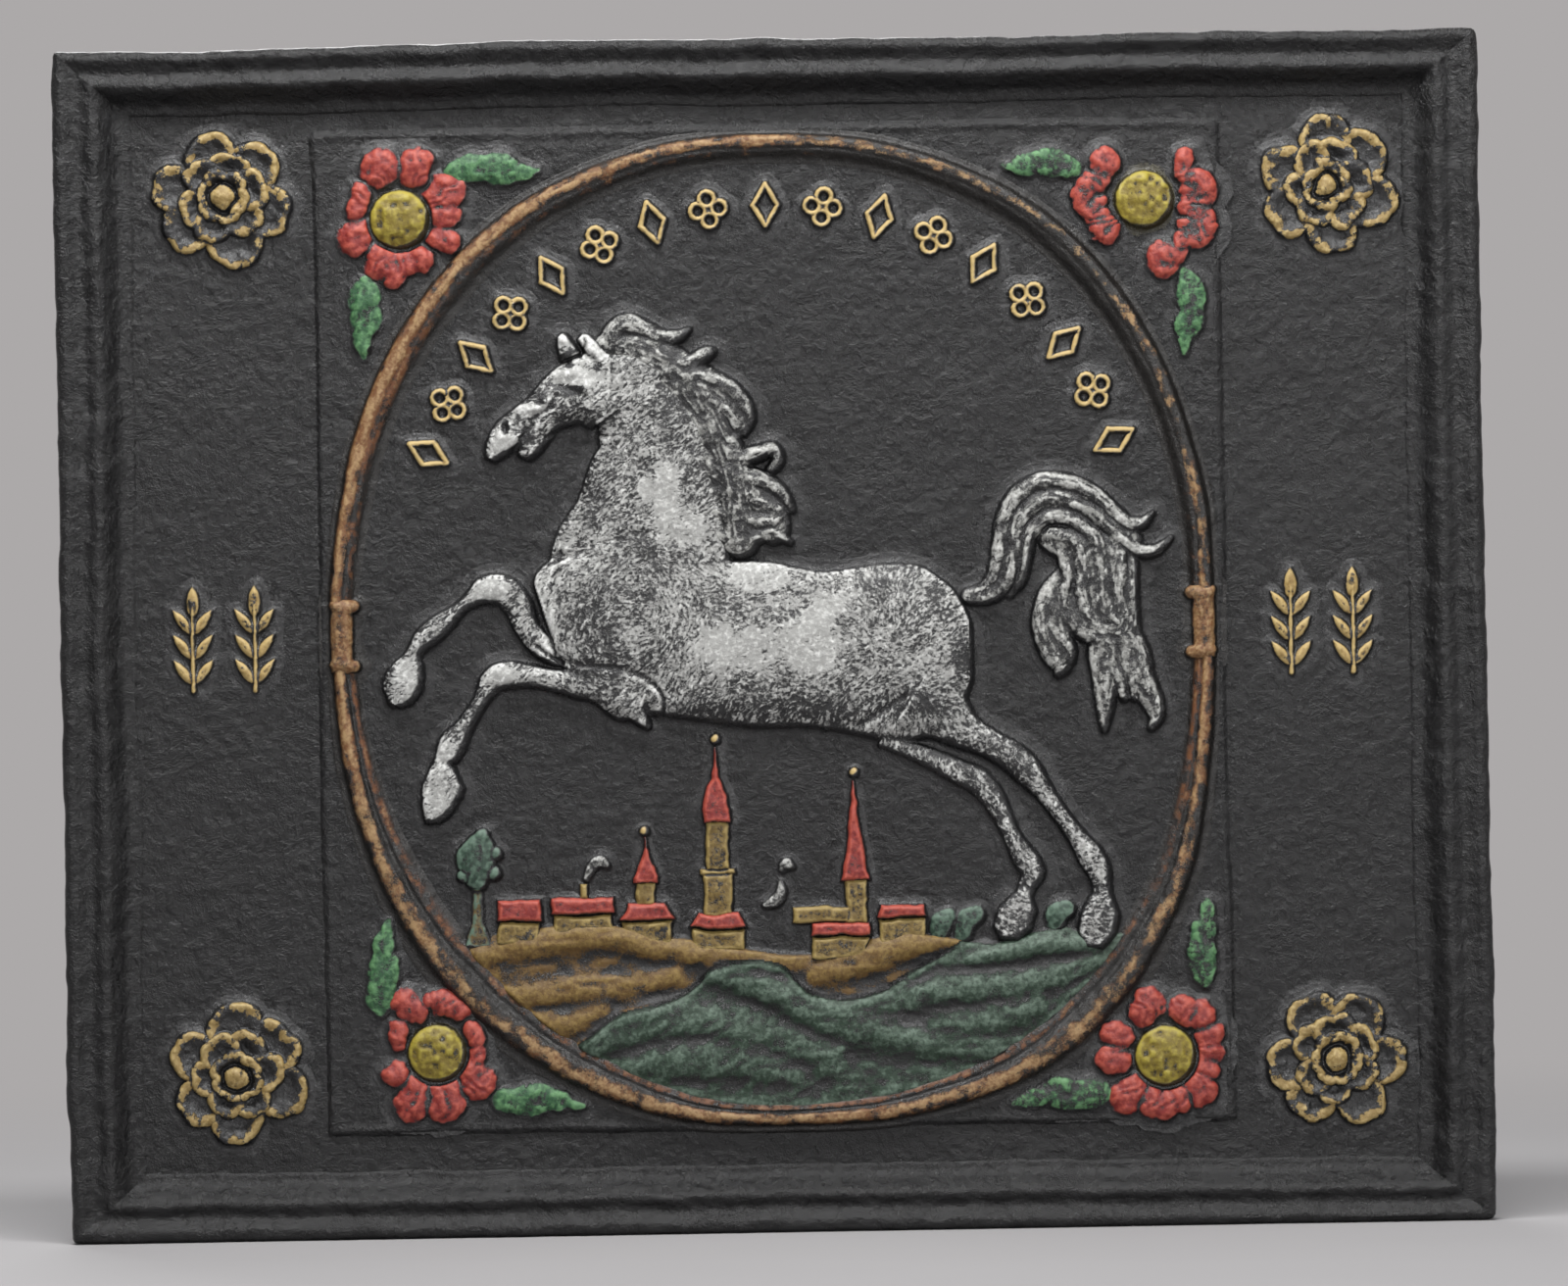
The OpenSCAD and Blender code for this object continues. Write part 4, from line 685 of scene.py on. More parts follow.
# In the order they were built up: how far each form melts into the ones before it, and its stations
# of x, z, half width and share of the rise
HORSE_FORMS = {
    "body": (1.0,
        [[-97, 262, 12, 0.7], [-92, 263, 22, 0.85], [-80, 262, 28, 0.92], [-60, 255, 35, 1],
         [-35, 250, 34, 0.98], [-5, 247, 35.5, 1], [20, 244.5, 33.5, 0.98], [45, 243.5, 37.5, 1],
         [62, 242, 37, 1], [74, 242, 30, 0.9], [81, 242, 20, 0.8], [84.5, 242, 11, 0.5]]),
    "neck": (4.0,
        [[-64, 362, 15, 0.7], [-54, 350, 22, 0.8], [-48, 335, 25, 0.85], [-48, 318, 30, 0.9],
         [-50, 300, 34, 0.95], [-55, 282, 38.5, 0.95], [-58, 266, 36, 0.92], [-58, 253, 27, 0.82],
         [-58, 243, 16, 0.65]]),
    "shoulder": (2.0, [[-90, 284, 6, 0.75], [-84, 274, 14, 0.85], [-72, 262, 22, 0.95]]),
    "head": (3.0,
        [[-66, 356, 17, 0.8], [-76, 356, 15.5, 0.85], [-86, 352, 13, 0.8], [-95, 346, 10, 0.77],
         [-103, 341, 9, 0.75], [-110, 336.5, 8, 0.7], [-115, 331, 5.6, 0.62], [-117.8, 326, 2.6, 0.5]]),
    "cheek": (1.5, [[-82, 361, 6, 0.85], [-74, 352, 12, 0.97], [-68, 343, 9, 0.85]]),
    "chin": (1.2,
        [[-90, 346, 7, 0.6], [-97, 338, 6.4, 0.64], [-101.5, 331, 5.6, 0.6], [-103.5, 326.5, 3, 0.45]]),
    "poll": (2.0, [[-76, 362, 9, 0.75], [-67, 371, 6, 0.7]]),
    "nape": (3.0, [[-78, 357, 8, 0.75], [-66, 363, 9, 0.8], [-54, 365, 9, 0.8], [-44, 362, 6, 0.7]]),
    "near_ear": (0.6, [[-79.5, 378.5, 2, 0.6], [-75.5, 375, 3.8, 0.8], [-69, 367, 4, 0.85]]),
    "far_ear": (0.6, [[-88, 379, 1.8, 0.5], [-86, 376.5, 3.6, 0.65], [-83, 369, 5, 0.7]]),
    "sheath": (1.0, [[20, 214, 4, 0.5], [28, 213, 3, 0.45], [34, 210, 2, 0.35]]),
    "near_foreleg": (1.2,
        [[-54, 224, 9, 0.8], [-62, 227, 12, 0.85], [-73, 231, 8.5, 0.8], [-84, 232, 6.5, 0.75],
         [-95, 234, 5, 0.65], [-104, 235.5, 5.5, 0.65], [-112, 236, 6.5, 0.7], [-118, 234, 6, 0.65],
         [-122.5, 227, 4, 0.55], [-127, 220, 3.8, 0.55], [-131, 214, 4.6, 0.6], [-135, 208.5, 6.4, 0.65],
         [-137.5, 203.5, 6, 0.6], [-139.5, 200, 4.6, 0.55], [-140.5, 195.5, 6, 0.6], [-140.5, 188, 9, 0.65],
         [-142.5, 180, 6.6, 0.6], [-145, 174.5, 2.6, 0.45]]),
    "elbow": (1.5, [[-66, 228, 9, 0.85], [-59, 221, 6, 0.8], [-54.5, 215, 3, 0.7], [-52.5, 212, 1, 0.5]]),
    "far_foreleg": (1.0,
        [[-88, 243, 5, 0.5], [-97, 248, 5.5, 0.55], [-103.5, 256, 5.5, 0.6], [-107, 265, 6.5, 0.62],
         [-112.5, 271.5, 7, 0.65], [-120, 272, 6.8, 0.65], [-126, 268.5, 4.4, 0.55], [-131, 265, 3.4, 0.5],
         [-138, 259, 5, 0.55], [-145, 253.5, 5.6, 0.6], [-149, 249.5, 4.4, 0.55], [-151.5, 245, 4.2, 0.55],
         [-153.5, 240, 7, 0.6], [-156, 233.5, 9, 0.65], [-158, 227.5, 7, 0.6], [-160, 223.5, 2.5, 0.45]]),
    "near_hind_leg": (3.5,
        [[58, 226, 20, 0.9], [70, 218, 14, 0.85], [80, 209.5, 8.5, 0.75], [90, 204, 6.5, 0.7],
         [100, 198, 6.8, 0.7], [107, 191, 6.5, 0.7], [113, 183, 4.6, 0.6], [120, 173, 4, 0.58],
         [126.5, 164, 4.4, 0.6], [132, 156, 6, 0.65], [135.5, 149.5, 5.6, 0.62], [136.5, 143.5, 4.6, 0.55],
         [136.5, 137.5, 5.4, 0.6], [135, 129, 8.2, 0.65], [133.5, 121.5, 6.5, 0.58], [133, 118.5, 3.5, 0.4]]),
    "far_hind_leg": (1.0,
        [[44, 207, 4, 0.4], [62, 199.5, 4.4, 0.42], [76, 192.5, 5.4, 0.46], [85, 188, 6, 0.5],
         [91, 181.5, 5.6, 0.5], [95.5, 173, 4.6, 0.46], [99.5, 164, 4.2, 0.45], [104, 156, 5.6, 0.5],
         [107.5, 149.5, 5.8, 0.5], [105, 143.5, 4.4, 0.42], [103, 138, 5, 0.48], [99.5, 130, 8, 0.52],
         [97.5, 124, 6.5, 0.45], [97, 121.5, 3.5, 0.3]])}
# The outline of each hoof and its share of the rise
HOOVES = [
    (0.6, [[-145.5, 198], [-139, 201.5], [-134.5, 198], [-130.3, 189], [-131.5, 184.5], [-138, 180],
           [-144.8, 173.4], [-148, 174], [-149.6, 182], [-149, 191]]),
    (0.56, [[-157, 243], [-151, 246], [-147, 242], [-146.5, 235], [-149, 229.5], [-156, 226],
            [-160.5, 222.5], [-163, 225], [-164, 233], [-162, 239]]),
    (0.62, [[131.5, 140.5], [136, 142], [141, 140.5], [144.5, 131], [142.5, 122], [137, 116], [129, 116.5],
            [125.5, 124], [127, 132]]),
    (0.5, [[98.5, 141], [103, 143], [107.5, 140.5], [109.5, 133], [107, 125], [101, 119.8], [93, 121],
           [90, 127], [92.5, 135]])]
# Where folds, muscles and the features of the head were cut: points of x and z, depth, width
HORSE_CUTS = [
    ([[-93, 243], [-80, 240], [-62, 237.5], [-51, 232]], 0.9, 1.6),
    ([[-50, 231], [-46.5, 225], [-48, 217]], 1.2, 1.2),
    ([[-89, 287], [-92, 276], [-95, 262], [-94, 250], [-90, 243]], 0.8, 1.5),
    ([[-99, 248], [-94, 244], [-89, 241]], 1.2, 1.0),
    ([[-110, 326], [-107.5, 331], [-104, 336], [-99.5, 341]], 1.6, 1.3),
    ([[-94, 336], [-87, 338.5], [-79, 339.5], [-69, 336.5]], 1.0, 1.2),
    ([[-91, 359.5], [-87, 357], [-82, 355.5], [-77.5, 353]], 0.7, 1.7),
    ([[-103, 340], [-98, 345], [-93, 348], [-89, 353]], 1.0, 1.5),
    ([[-86, 286], [-70, 291.5], [-52, 295], [-34, 292]], 0.5, 2.6),
    ([[-27, 285], [-22, 268], [-26, 250], [-34, 234]], 0.4, 4.0),
    ([[40, 278], [33, 262], [31, 245], [36, 226]], 0.5, 4.5),
    ([[36, 213], [46, 219], [54, 224]], 1.0, 1.8),
    ([[78, 262], [84, 264], [90, 268]], 0.8, 1.4),
    ([[-79.5, 382], [-77, 376], [-79, 370]], 1.6, 1.0),
    ([[-144, 199], [-140, 200.5], [-135, 198.5]], 0.4, 1.2),
    ([[-157, 243.5], [-152, 246], [-147.5, 243]], 0.4, 1.2),
    ([[131, 142], [136, 143], [142, 141]], 0.4, 1.2),
    ([[98, 142.5], [103, 144], [108, 141.5]], 0.4, 1.2)]
# Where the carver left the form fuller or, below zero, hollow: x, z, half width, half height, amount
HORSE_SWELLINGS = [
    (-111.3, 340, 1.5, 2.2, -2.2), (-114, 343, 2.2, 2.2, 0.8), (-108, 335.5, 3, 2.5, 0.9),
    (-100, 348, 6, 1.6, 0.9), (-93, 351.5, 4, 1.8, 0.7), (-84, 362.5, 6, 2.2, 1.5), (-77, 357, 3, 3, 1.1),
    (-87, 371, 3.2, 2.6, 1.0), (-81.5, 368, 2.6, 2.2, 0.8), (-85, 377, 3, 2.6, 0.9),
    (-74, 372, 3.2, 3.2, 1.3), (-69, 367, 2.6, 2.6, 0.9), (-77, 380, 1.6, 1.6, -1.0), (-74, 348, 8, 7, 1.0),
    (-84, 346, 4, 3, 0.6), (-101, 330, 3, 3, 0.9), (-60, 262, 20, 22, 0.9), (0, 249, 30, 13, 0.5),
    (58, 250, 20, 20, 0.9), (-5, 279, 12, 6, 0.6), (-45, 318, 8, 22, 0.7), (-94, 262, 3, 12, 0.9)]
# How the hair lies, in degrees: spots of x, z, half width and half height, and rings of x, z and size
HAIR_SPOTS = [
    (-48, 330, 22, 38, 25), (-78, 350, 16, 12, 40), (0, 212, 60, 12, 85), (-60, 228, 20, 9, 70),
    (100, 180, 30, 40, -60), (-125, 235, 25, 40, 50), (10, 255, 30, 18, -15)]
HAIR_RINGS = [(-62, 258, 24, 90), (48, 238, 34, 0)]
# Where the paint is thicker, below zero, or thinner; the thin spots low on the belly, chest and haunch and in
# the hollows of the head are partly painted shade: x, z, half width, half height, amount
PAINT_AND_SHADE_SPOTS = [
    (-15, 246, 17, 10, -0.5), (16, 247, 12, 12, -0.5), (22, 262, 9, 7, -0.3), (-5, 277, 13, 7, -0.45),
    (-44, 312, 5, 15, -0.38), (-52, 314, 4, 6, -0.35), (-94, 256, 3, 10, -0.3), (-80, 361, 9, 3.4, -0.5),
    (-84, 356, 7, 2.2, 0.5), (-83.5, 366, 2, 1.6, 0.5), (-79.5, 370, 1.8, 1.6, 0.45),
    (-75.5, 373.5, 1.2, 2.4, 0.3), (-71.5, 364.5, 2, 1.6, 0.4), (-85.5, 373, 3, 1.4, 0.3),
    (-102.5, 337, 4, 3, 0.3), (-111, 340.5, 1.8, 2.4, 0.5), (-92, 354, 24, 24, 0.07), (-86, 362, 8, 9, -0.2),
    (-72, 356, 10, 8, -0.2), (-86, 377, 3, 3, -0.4), (-76, 376, 4, 4, -0.4), (-100, 348, 7, 3, -0.5),
    (-38, 296, 12, 7, -0.25), (-116, 236, 8, 5, -0.45), (-119, 272, 8, 5, -0.45), (-155, 236, 6, 8, -0.35),
    (-140, 205, 6, 5, -0.45), (-144, 186, 6, 11, -0.35), (-74, 372, 7, 5, -0.35), (-86, 378, 5, 3, -0.4),
    (134, 130, 8, 10, 0.05), (98, 131, 8, 10, 0.1), (-113, 333, 5, 7, -0.25), (46, 270, 7, 4, 0.22),
    (0, 219, 50, 7, 0.2), (-74, 262, 12, 14, 0.16), (-62, 240, 22, 6, 0.12), (60, 222, 14, 9, 0.12),
    (100, 190, 14, 16, 0.1), (-97, 352, 4, 4, 0.3), (-82, 344, 9, 4, 0.12), (82, 245, 7, 16, 0.22),
    (70, 262, 8, 8, 0.1), (-75, 315, 6, 20, 0.1), (-40, 345, 8, 9, 0.1)]
carving = Carving(-172, 152, 110, 388, 0.5)
for melt, stations in HORSE_FORMS.values():
    carving.rib(stations, HORSE_RISE, melt=melt, flat=True)
for tall, points in HOOVES:
    carving.outline(points, tall * HORSE_RISE, bevel=3.4, fullness=0.45)
for points, depth, width in HORSE_CUTS:
    carving.groove(points, depth, width)
for swelling in HORSE_SWELLINGS:
    carving.mound(*swelling)


def strokes(x, z, way, length, width, seed):
    """Short marks that lie along the directions in way, an angle in degrees at each point"""
    total = 0
    for k in range(6):
        a = math.radians(30 * k)
        off = np.abs((way - 30 * k + 90) % 180 - 90)
        u, v = x * math.cos(a) + z * math.sin(a), z * math.cos(a) - x * math.sin(a)
        total = total + np.clip(1 - off / 30, 0, 1) * swell(u / length, v / width, 1.0, seed + k)
    return total


# Hair marks: short and wavy, in arcs on the shoulder, upright on the neck, outwards on the rump. A
# direction counts twice its angle here, so that both of its ends are one
x, z = carving.x, carving.z
turning = np.stack([np.ones_like(x), np.zeros_like(x)]) * 0.25
for spot_x, spot_z, spot_w, spot_h, angle in HAIR_SPOTS:
    weight = np.exp(-((x - spot_x) / spot_w) ** 2 - ((z - spot_z) / spot_h) ** 2)
    angle = 2 * np.radians(angle)
    turning += weight * np.stack([np.cos(angle) + 0 * x, np.sin(angle) + 0 * x])
for ring_x, ring_z, size, quarter in HAIR_RINGS:
    angle = 2 * (np.arctan2(z - ring_z, x - ring_x) + math.radians(quarter))
    weight = bell(np.hypot(x - ring_x, z - ring_z) - size, 0.5 * size)
    turning += 1.3 * weight * np.stack([np.cos(angle), np.sin(angle)])
way = np.degrees(np.arctan2(turning[1], turning[0])) / 2 + 28 * swell(x, z, 9, 60)
bend_x, bend_z = x + 0.7 * swell(x, z, 3.4, 66), z + 0.7 * swell(x, z, 3.4, 67)
hair = 0.5 * strokes(bend_x, bend_z, way, 2.1, 0.8, 62) + 0.75 * strokes(bend_x, bend_z, way, 1.15, 0.62, 72)
carving.height += ease(carving.height / 2) * (0.16 * hair + 0.3 * swell(x, z, 11, 64))
# The paint is rubbed off along the edges, more so on the legs
on_legs = 1 - ease((z - 205) / 22) * ease((x + 108) / 14) * ease((96 - x) / 14)
bare_edges = (0.16 + 0.26 * on_legs) * (1 - ease((-carving.beyond - 0.6) / 3.6))
# The spots thin the paint partly as painted shade under the body and in the hollows of the head
carving.set_down("horse_relief", ["horse"], SILVER, "silver_paint", PANEL_RISE, lip=1.1, lip_width=3.8,
                 paint_edge=0.6, shade=1.4, crest=0.42,
                 wear=carving.spots(PAINT_AND_SHADE_SPOTS) * (1 + 0.7 * rough(x, z, 4, 69)) - 0.28 * hair
                 + 0.14 * rough(x, z, 14, 65) + 0.1 * rough(x, z, 5, 70) + bare_edges)


# The mane and the tail: locks carved apart from the horse, each a bundle of strands. They are dusted
# with less paint than the coat, so that the strands' hollows stay dark.
MANE_RISE = 8
TAIL_RISE = 7.5
GREY = painted("White paint on the locks", (122, 122, 118), (196, 196, 192), wear=0.59, size=1250.0,
               patchiness=1.1, softness=0.42)
# The broad forms, and the locks on them: stations of x, z, half width and share of the rise
MANE_MASS = [
    [[-68, 374, 5, 0.6], [-54, 372, 8, 0.7], [-36, 358, 11, 0.7], [-22, 334, 9, 0.68], [-15, 314, 8.5, 0.7],
     [-13, 292, 8.5, 0.62]],
    [[-42, 362, 8, 0.68], [-28, 357, 8, 0.66], [-18, 349, 6.5, 0.62], [-13, 340, 4, 0.5]],
    [[-26, 324, 8, 0.66], [-14, 315, 10, 0.66], [-3, 305, 9, 0.6], [1, 296, 7, 0.5]]]
MANE_LOCKS = [
    [[-70, 371, 3, 0.8], [-65, 379, 4.6, 0.92], [-59, 383, 4.4, 0.95], [-52, 380, 4.4, 0.9],
     [-45, 377, 3.8, 0.8], [-39, 377, 3, 0.7], [-33.5, 380, 1.2, 0.5]],
    [[-62, 371, 4, 0.9], [-50, 371, 4, 0.92], [-40, 366, 4.2, 0.85], [-32, 366.5, 4, 0.8],
     [-26, 370, 3, 0.7], [-23, 371, 1.4, 0.5]],
    [[-52, 363, 4, 0.9], [-40, 361, 3.4, 0.92], [-28, 360.5, 3.6, 0.9], [-18, 356, 4, 0.82],
     [-11, 349, 3.8, 0.75], [-8.5, 342, 2.8, 0.6], [-10.5, 336, 1, 0.5]],
    [[-38, 353, 3.6, 0.95], [-28, 352, 3.6, 0.92], [-20, 348, 3.6, 0.85], [-15, 341, 3, 0.75],
     [-13.5, 335, 1.6, 0.55]],
    [[-32, 344, 3.6, 0.95], [-25, 341, 3.6, 0.9], [-20, 335, 3, 0.8], [-17, 331, 1.6, 0.6]],
    [[-26, 334, 4, 0.98], [-20, 329, 4, 0.92], [-12, 326, 3.8, 0.86], [-4, 328, 3.4, 0.8],
     [1, 329.5, 3, 0.72], [3.4, 325, 2.8, 0.66], [0.5, 320.5, 2, 0.55]],
    [[-24, 322, 4.4, 1], [-14, 319, 4.2, 0.92], [-4, 316, 4, 0.85], [4, 311, 3.6, 0.75],
     [8.6, 304, 1.8, 0.5]],
    [[-26, 312, 4, 1], [-14, 309.5, 4, 0.92], [-4, 307, 3.6, 0.8], [4, 303, 2.6, 0.65], [7, 298, 1, 0.5]],
    [[-24, 303, 4, 0.98], [-12, 300.5, 3.8, 0.88], [-2, 299, 3.2, 0.75], [5, 301, 1.4, 0.55]],
    [[-22, 293, 4, 0.9], [-11, 291.5, 3.8, 0.82], [0, 294, 3, 0.7], [8, 290, 1.2, 0.5]]]
TAIL_MASS = [
    [[83, 266, 3.5, 0.4], [92, 268, 5.2, 0.5], [98.5, 277, 6.5, 0.56], [102, 293, 8, 0.64],
     [110, 304.5, 9.5, 0.66], [124, 306.5, 9.4, 0.66], [138, 300, 7.5, 0.62], [152, 289, 4, 0.45]],
    [[116.5, 290, 4.5, 0.45], [122, 289, 7.5, 0.56], [130, 287, 9.5, 0.62], [137, 279, 13.5, 0.68],
     [139, 268, 14.5, 0.68], [141, 258, 13.5, 0.66], [147.5, 249, 7.5, 0.55]],
    [[121, 275, 2, 0.4], [117.5, 265, 6, 0.56], [117.5, 255, 7.6, 0.64], [119.5, 245, 7, 0.64],
     [121.5, 237, 4.4, 0.54], [120, 232.5, 1.6, 0.4]],
    [[122, 271, 4, 0.5], [124, 262, 7, 0.6], [131, 253, 6.4, 0.62], [141, 248.5, 5, 0.6],
     [150, 247, 4, 0.55]],
    [[139, 252, 4, 0.5], [139.5, 241, 6.4, 0.64], [139.5, 231, 5.6, 0.62], [139.4, 221, 4.2, 0.55],
     [139, 213, 2.6, 0.45], [138.8, 208.6, 1, 0.4]],
    [[147, 252, 5, 0.55], [150.5, 241, 8, 0.64], [153.5, 231, 6.8, 0.62], [158, 222, 4.6, 0.56],
     [160.6, 214.5, 3, 0.48], [158.6, 209.4, 1.4, 0.4]]]
TAIL_LOCKS = [
    [[84, 267.5, 1.8, 0.5], [90, 270, 2.6, 0.64], [94.2, 277, 3.2, 0.8], [96, 286, 3.4, 0.88],
     [97.5, 296, 3.6, 0.92], [102, 306, 3.8, 1], [110, 312.5, 3.9, 1], [119, 314, 3.9, 1],
     [129, 311.5, 3.9, 0.96], [138, 306, 3.7, 0.92], [145, 299.5, 3.4, 0.85], [150, 295.5, 3.2, 0.76],
     [156, 295.5, 2.6, 0.62], [160.5, 299.5, 1, 0.45]],
    [[84, 264, 1.8, 0.5], [92, 266, 2.8, 0.66], [98.8, 272, 3.3, 0.8], [101.5, 283, 3.4, 0.87],
     [103, 294, 3.5, 0.92], [108.5, 302.5, 3.7, 0.97], [116, 306.5, 3.7, 0.98], [125, 305.5, 3.7, 0.96],
     [134, 301, 3.6, 0.92], [142, 294.5, 3.5, 0.86], [149, 287.5, 3.4, 0.78], [156, 283.5, 3, 0.7],
     [162.5, 284.5, 2.3, 0.6], [168, 289, 0.9, 0.45]],
    [[100, 266.5, 1.6, 0.5], [104.6, 273, 2.6, 0.72], [106.8, 283, 3, 0.82], [109, 292, 3.2, 0.88],
     [115.5, 298.5, 3.4, 0.92], [124, 298.5, 3.5, 0.94], [131, 294.5, 3.6, 0.94], [136.5, 288, 3.6, 0.92],
     [138.5, 279, 3.6, 0.9], [138, 269, 3.6, 0.88], [139.5, 261, 3.4, 0.86], [145, 254, 3, 0.8],
     [151, 250.5, 1.8, 0.6]],
    [[112, 291.5, 1.8, 0.55], [118, 291.5, 3.2, 0.78], [125.5, 290, 3.5, 0.88], [130, 284, 3.6, 0.9],
     [131, 275, 3.6, 0.9], [130, 266, 3.6, 0.88], [132.5, 257.5, 3.5, 0.86], [139, 251.5, 3.2, 0.8],
     [147, 248, 2.2, 0.64]],
    [[117, 286.5, 2, 0.55], [122.5, 284, 3.2, 0.76], [124.3, 276, 3.3, 0.82], [123, 267, 3.2, 0.82],
     [122.6, 260, 3.2, 0.8], [127, 253, 3.3, 0.8], [135, 248.6, 3.1, 0.76], [143.5, 246.4, 2, 0.6]],
    [[143, 292, 3, 0.72], [146.5, 285, 3.4, 0.84], [146, 276, 3.4, 0.87], [145, 267, 3.4, 0.86],
     [147, 258, 3, 0.8], [151.5, 253, 1.6, 0.58]],
    [[150.5, 286, 2.2, 0.6], [152, 277, 2.4, 0.7], [151.6, 268, 2.6, 0.7], [152, 259, 2.2, 0.62],
     [153.5, 253, 1, 0.45]],
    [[121, 274.5, 1.4, 0.5], [116, 267, 3.2, 0.74], [112.8, 258, 3.6, 0.82], [113.5, 249, 3.9, 0.84],
     [117, 240.5, 4, 0.82], [120.3, 235, 2.6, 0.66], [119.5, 232.2, 1.2, 0.5]],
    [[119.5, 267, 2.4, 0.68], [118.6, 258.5, 3.3, 0.8], [120, 250, 3.5, 0.82], [124.3, 243.5, 3.2, 0.76],
     [125, 238, 1.8, 0.58]],
    [[135.4, 247, 2.6, 0.66], [136, 239, 3.4, 0.8], [138, 230.5, 3.6, 0.78], [139.8, 221.5, 3, 0.66],
     [139.3, 214, 2.4, 0.55], [138.8, 209, 1.2, 0.42]],
    [[141.5, 246, 3.2, 0.74], [142.6, 238, 3.6, 0.84], [145, 230, 3.6, 0.8], [147.5, 222.5, 2, 0.6]],
    [[148, 245.5, 3, 0.74], [149.5, 237.5, 3.4, 0.84], [151, 229.5, 3.4, 0.78], [151.6, 222.5, 2, 0.6]],
    [[153, 243.5, 2.2, 0.66], [155.3, 236, 3.1, 0.78], [157.8, 228.5, 3.3, 0.74], [161, 220.5, 3, 0.64],
     [161.4, 213.5, 2.5, 0.55], [158.5, 209, 1.2, 0.42]]]
# A lock rises out of the mass over its first stations
LOCK_ROOT = (0.74, 0.88, 1)
LOCK_SPREAD = 0.6
MASS_SHARE = 1.25
for name, mass, locks, rise, bounds, worn, seed in (
        ("mane", MANE_MASS, MANE_LOCKS, MANE_RISE, (-80, 18, 278, 394), 0.05, 71),
        ("tail", TAIL_MASS, TAIL_LOCKS, TAIL_RISE, (76, 176, 200, 324), 0.0, 75)):
    carving = Carving(*bounds, 0.5)
    for form in mass:
        carving.rib([[fx, fz, half + LOCK_SPREAD, MASS_SHARE * tall] for fx, fz, half, tall in form], rise,
                    melt=1.5, fullness=0.42)
    for form in locks:
        carving.rib([[fx, fz, half + LOCK_SPREAD, tall * LOCK_ROOT[min(k, 2)]]
                     for k, (fx, fz, half, tall) in enumerate(form)], rise, melt=1.4, fullness=0.5)
    x, z, along, across = carving.x, carving.z, carving.along, carving.across
    strand = swell(along / 5.5, across / 1.15 + 0.5 * swell(along, across, 5, seed), 1.0, seed + 1)
    fine = swell(along / 3.2, across / 0.75, 1.0, seed + 2)
    hair = 0.8 * strand + 0.4 * fine
    nicks = swell(along / 1.5 + 0.6 * strand, across / 2.6, 1.0, seed + 5)
    lumps = 0.2 * strand + 0.12 * fine + 0.14 * nicks + 0.45 * rough(x, z, 4, seed + 3)
    carving.height += ease(carving.height / 2.5) * lumps
    carving.set_down(name + "_relief", [name], GREY, "silver_paint", PANEL_RISE, lip=1.1, lip_width=3.4,
                     paint_edge=0.5, shade=1.3, crest=0.3, crest_size=1.3,
                     wear=worn - 0.24 * hair - 0.1 * nicks + 0.16 * rough(x, z, 7, seed + 4)
                     + 0.16 * (1 - ease((-carving.beyond - 0.4) / 2.6)))


# The ground below the horse: ochre field and green hills, modelled with broad ridges. The green was
# laid over the ochre with a brush, and both turn paler grey along the ridges, partly a grey rub and partly a
# painted highlight.
OCHRE = painted("Ochre paint", (86, 61, 18), (128, 104, 52), wear=0.38, size=1300.0, patchiness=1.6,
                softness=0.3)
HILL_GREEN = painted("Green paint on the hills", (23, 45, 29), (90, 108, 94), wear=0.43, size=1300.0,
                     patchiness=1.6, softness=0.32)
# The land's upper edge, the hills' edge before the field, and the ridges: stations as on the horse
GROUND_EDGE = [
    [-230, 124], [-135, 124], [-118, 128], [-95, 131], [-72, 131], [-50, 127], [-15, 120], [14, 117],
    [50, 126], [66, 124], [90, 121], [118, 127], [140, 124], [230, 124]]
HILL_EDGE = [
    [-230, 60], [-100, 72], [-84, 80], [-70, 91], [-52, 96], [-38, 102], [-24, 113], [0, 112], [14, 100],
    [38, 99], [62, 112], [86, 125], [110, 140], [230, 150]]
RIDGES = [
    [[-125, 118, 5, 0.55], [-100, 123, 7, 0.75], [-72, 126, 7, 0.85], [-50, 120, 6, 0.75],
     [-20, 116, 6, 0.7], [8, 113, 5, 0.6]],
    [[-112, 101, 6, 0.5], [-88, 103, 7, 0.7], [-66, 104, 6, 0.6], [-44, 108, 6, 0.5]],
    [[-104, 88, 6, 0.5], [-88, 90, 7, 0.6], [-74, 95, 5, 0.5]],
    [[16, 108, 6, 0.5], [34, 113, 8, 0.75], [56, 120, 7, 0.8], [74, 121, 5, 0.6]],
    [[-84, 76, 5, 0.4], [-70, 84, 8, 0.75], [-50, 90, 10, 0.9], [-28, 88, 9, 0.7], [-10, 80, 7, 0.5]],
    [[-62, 72, 6, 0.4], [-40, 74, 10, 0.8], [-16, 72, 9, 0.7], [6, 66, 6, 0.4]],
    [[-28, 108, 4, 0.6], [-14, 106, 7, 0.95], [2, 99, 8, 1], [18, 90, 9, 0.9], [40, 84, 9, 0.8],
     [64, 78, 7, 0.6], [92, 76, 4, 0.4]],
    [[-16, 88, 8, 0.6], [4, 80, 9, 0.7], [22, 72, 8, 0.5]],
    [[30, 92, 5, 0.5], [52, 96, 7, 0.7], [72, 101, 8, 0.85], [94, 102, 8, 0.85], [116, 106, 6, 0.6],
     [132, 112, 4, 0.4]],
    [[66, 86, 6, 0.5], [90, 88, 8, 0.7], [108, 94, 6, 0.5]],
    [[72, 112, 4, 0.5], [92, 115, 5, 0.75], [112, 119, 5, 0.8], [132, 119, 5, 0.6]]]
LAND_RISE = 1.2
RIDGE_RISE = 4.0
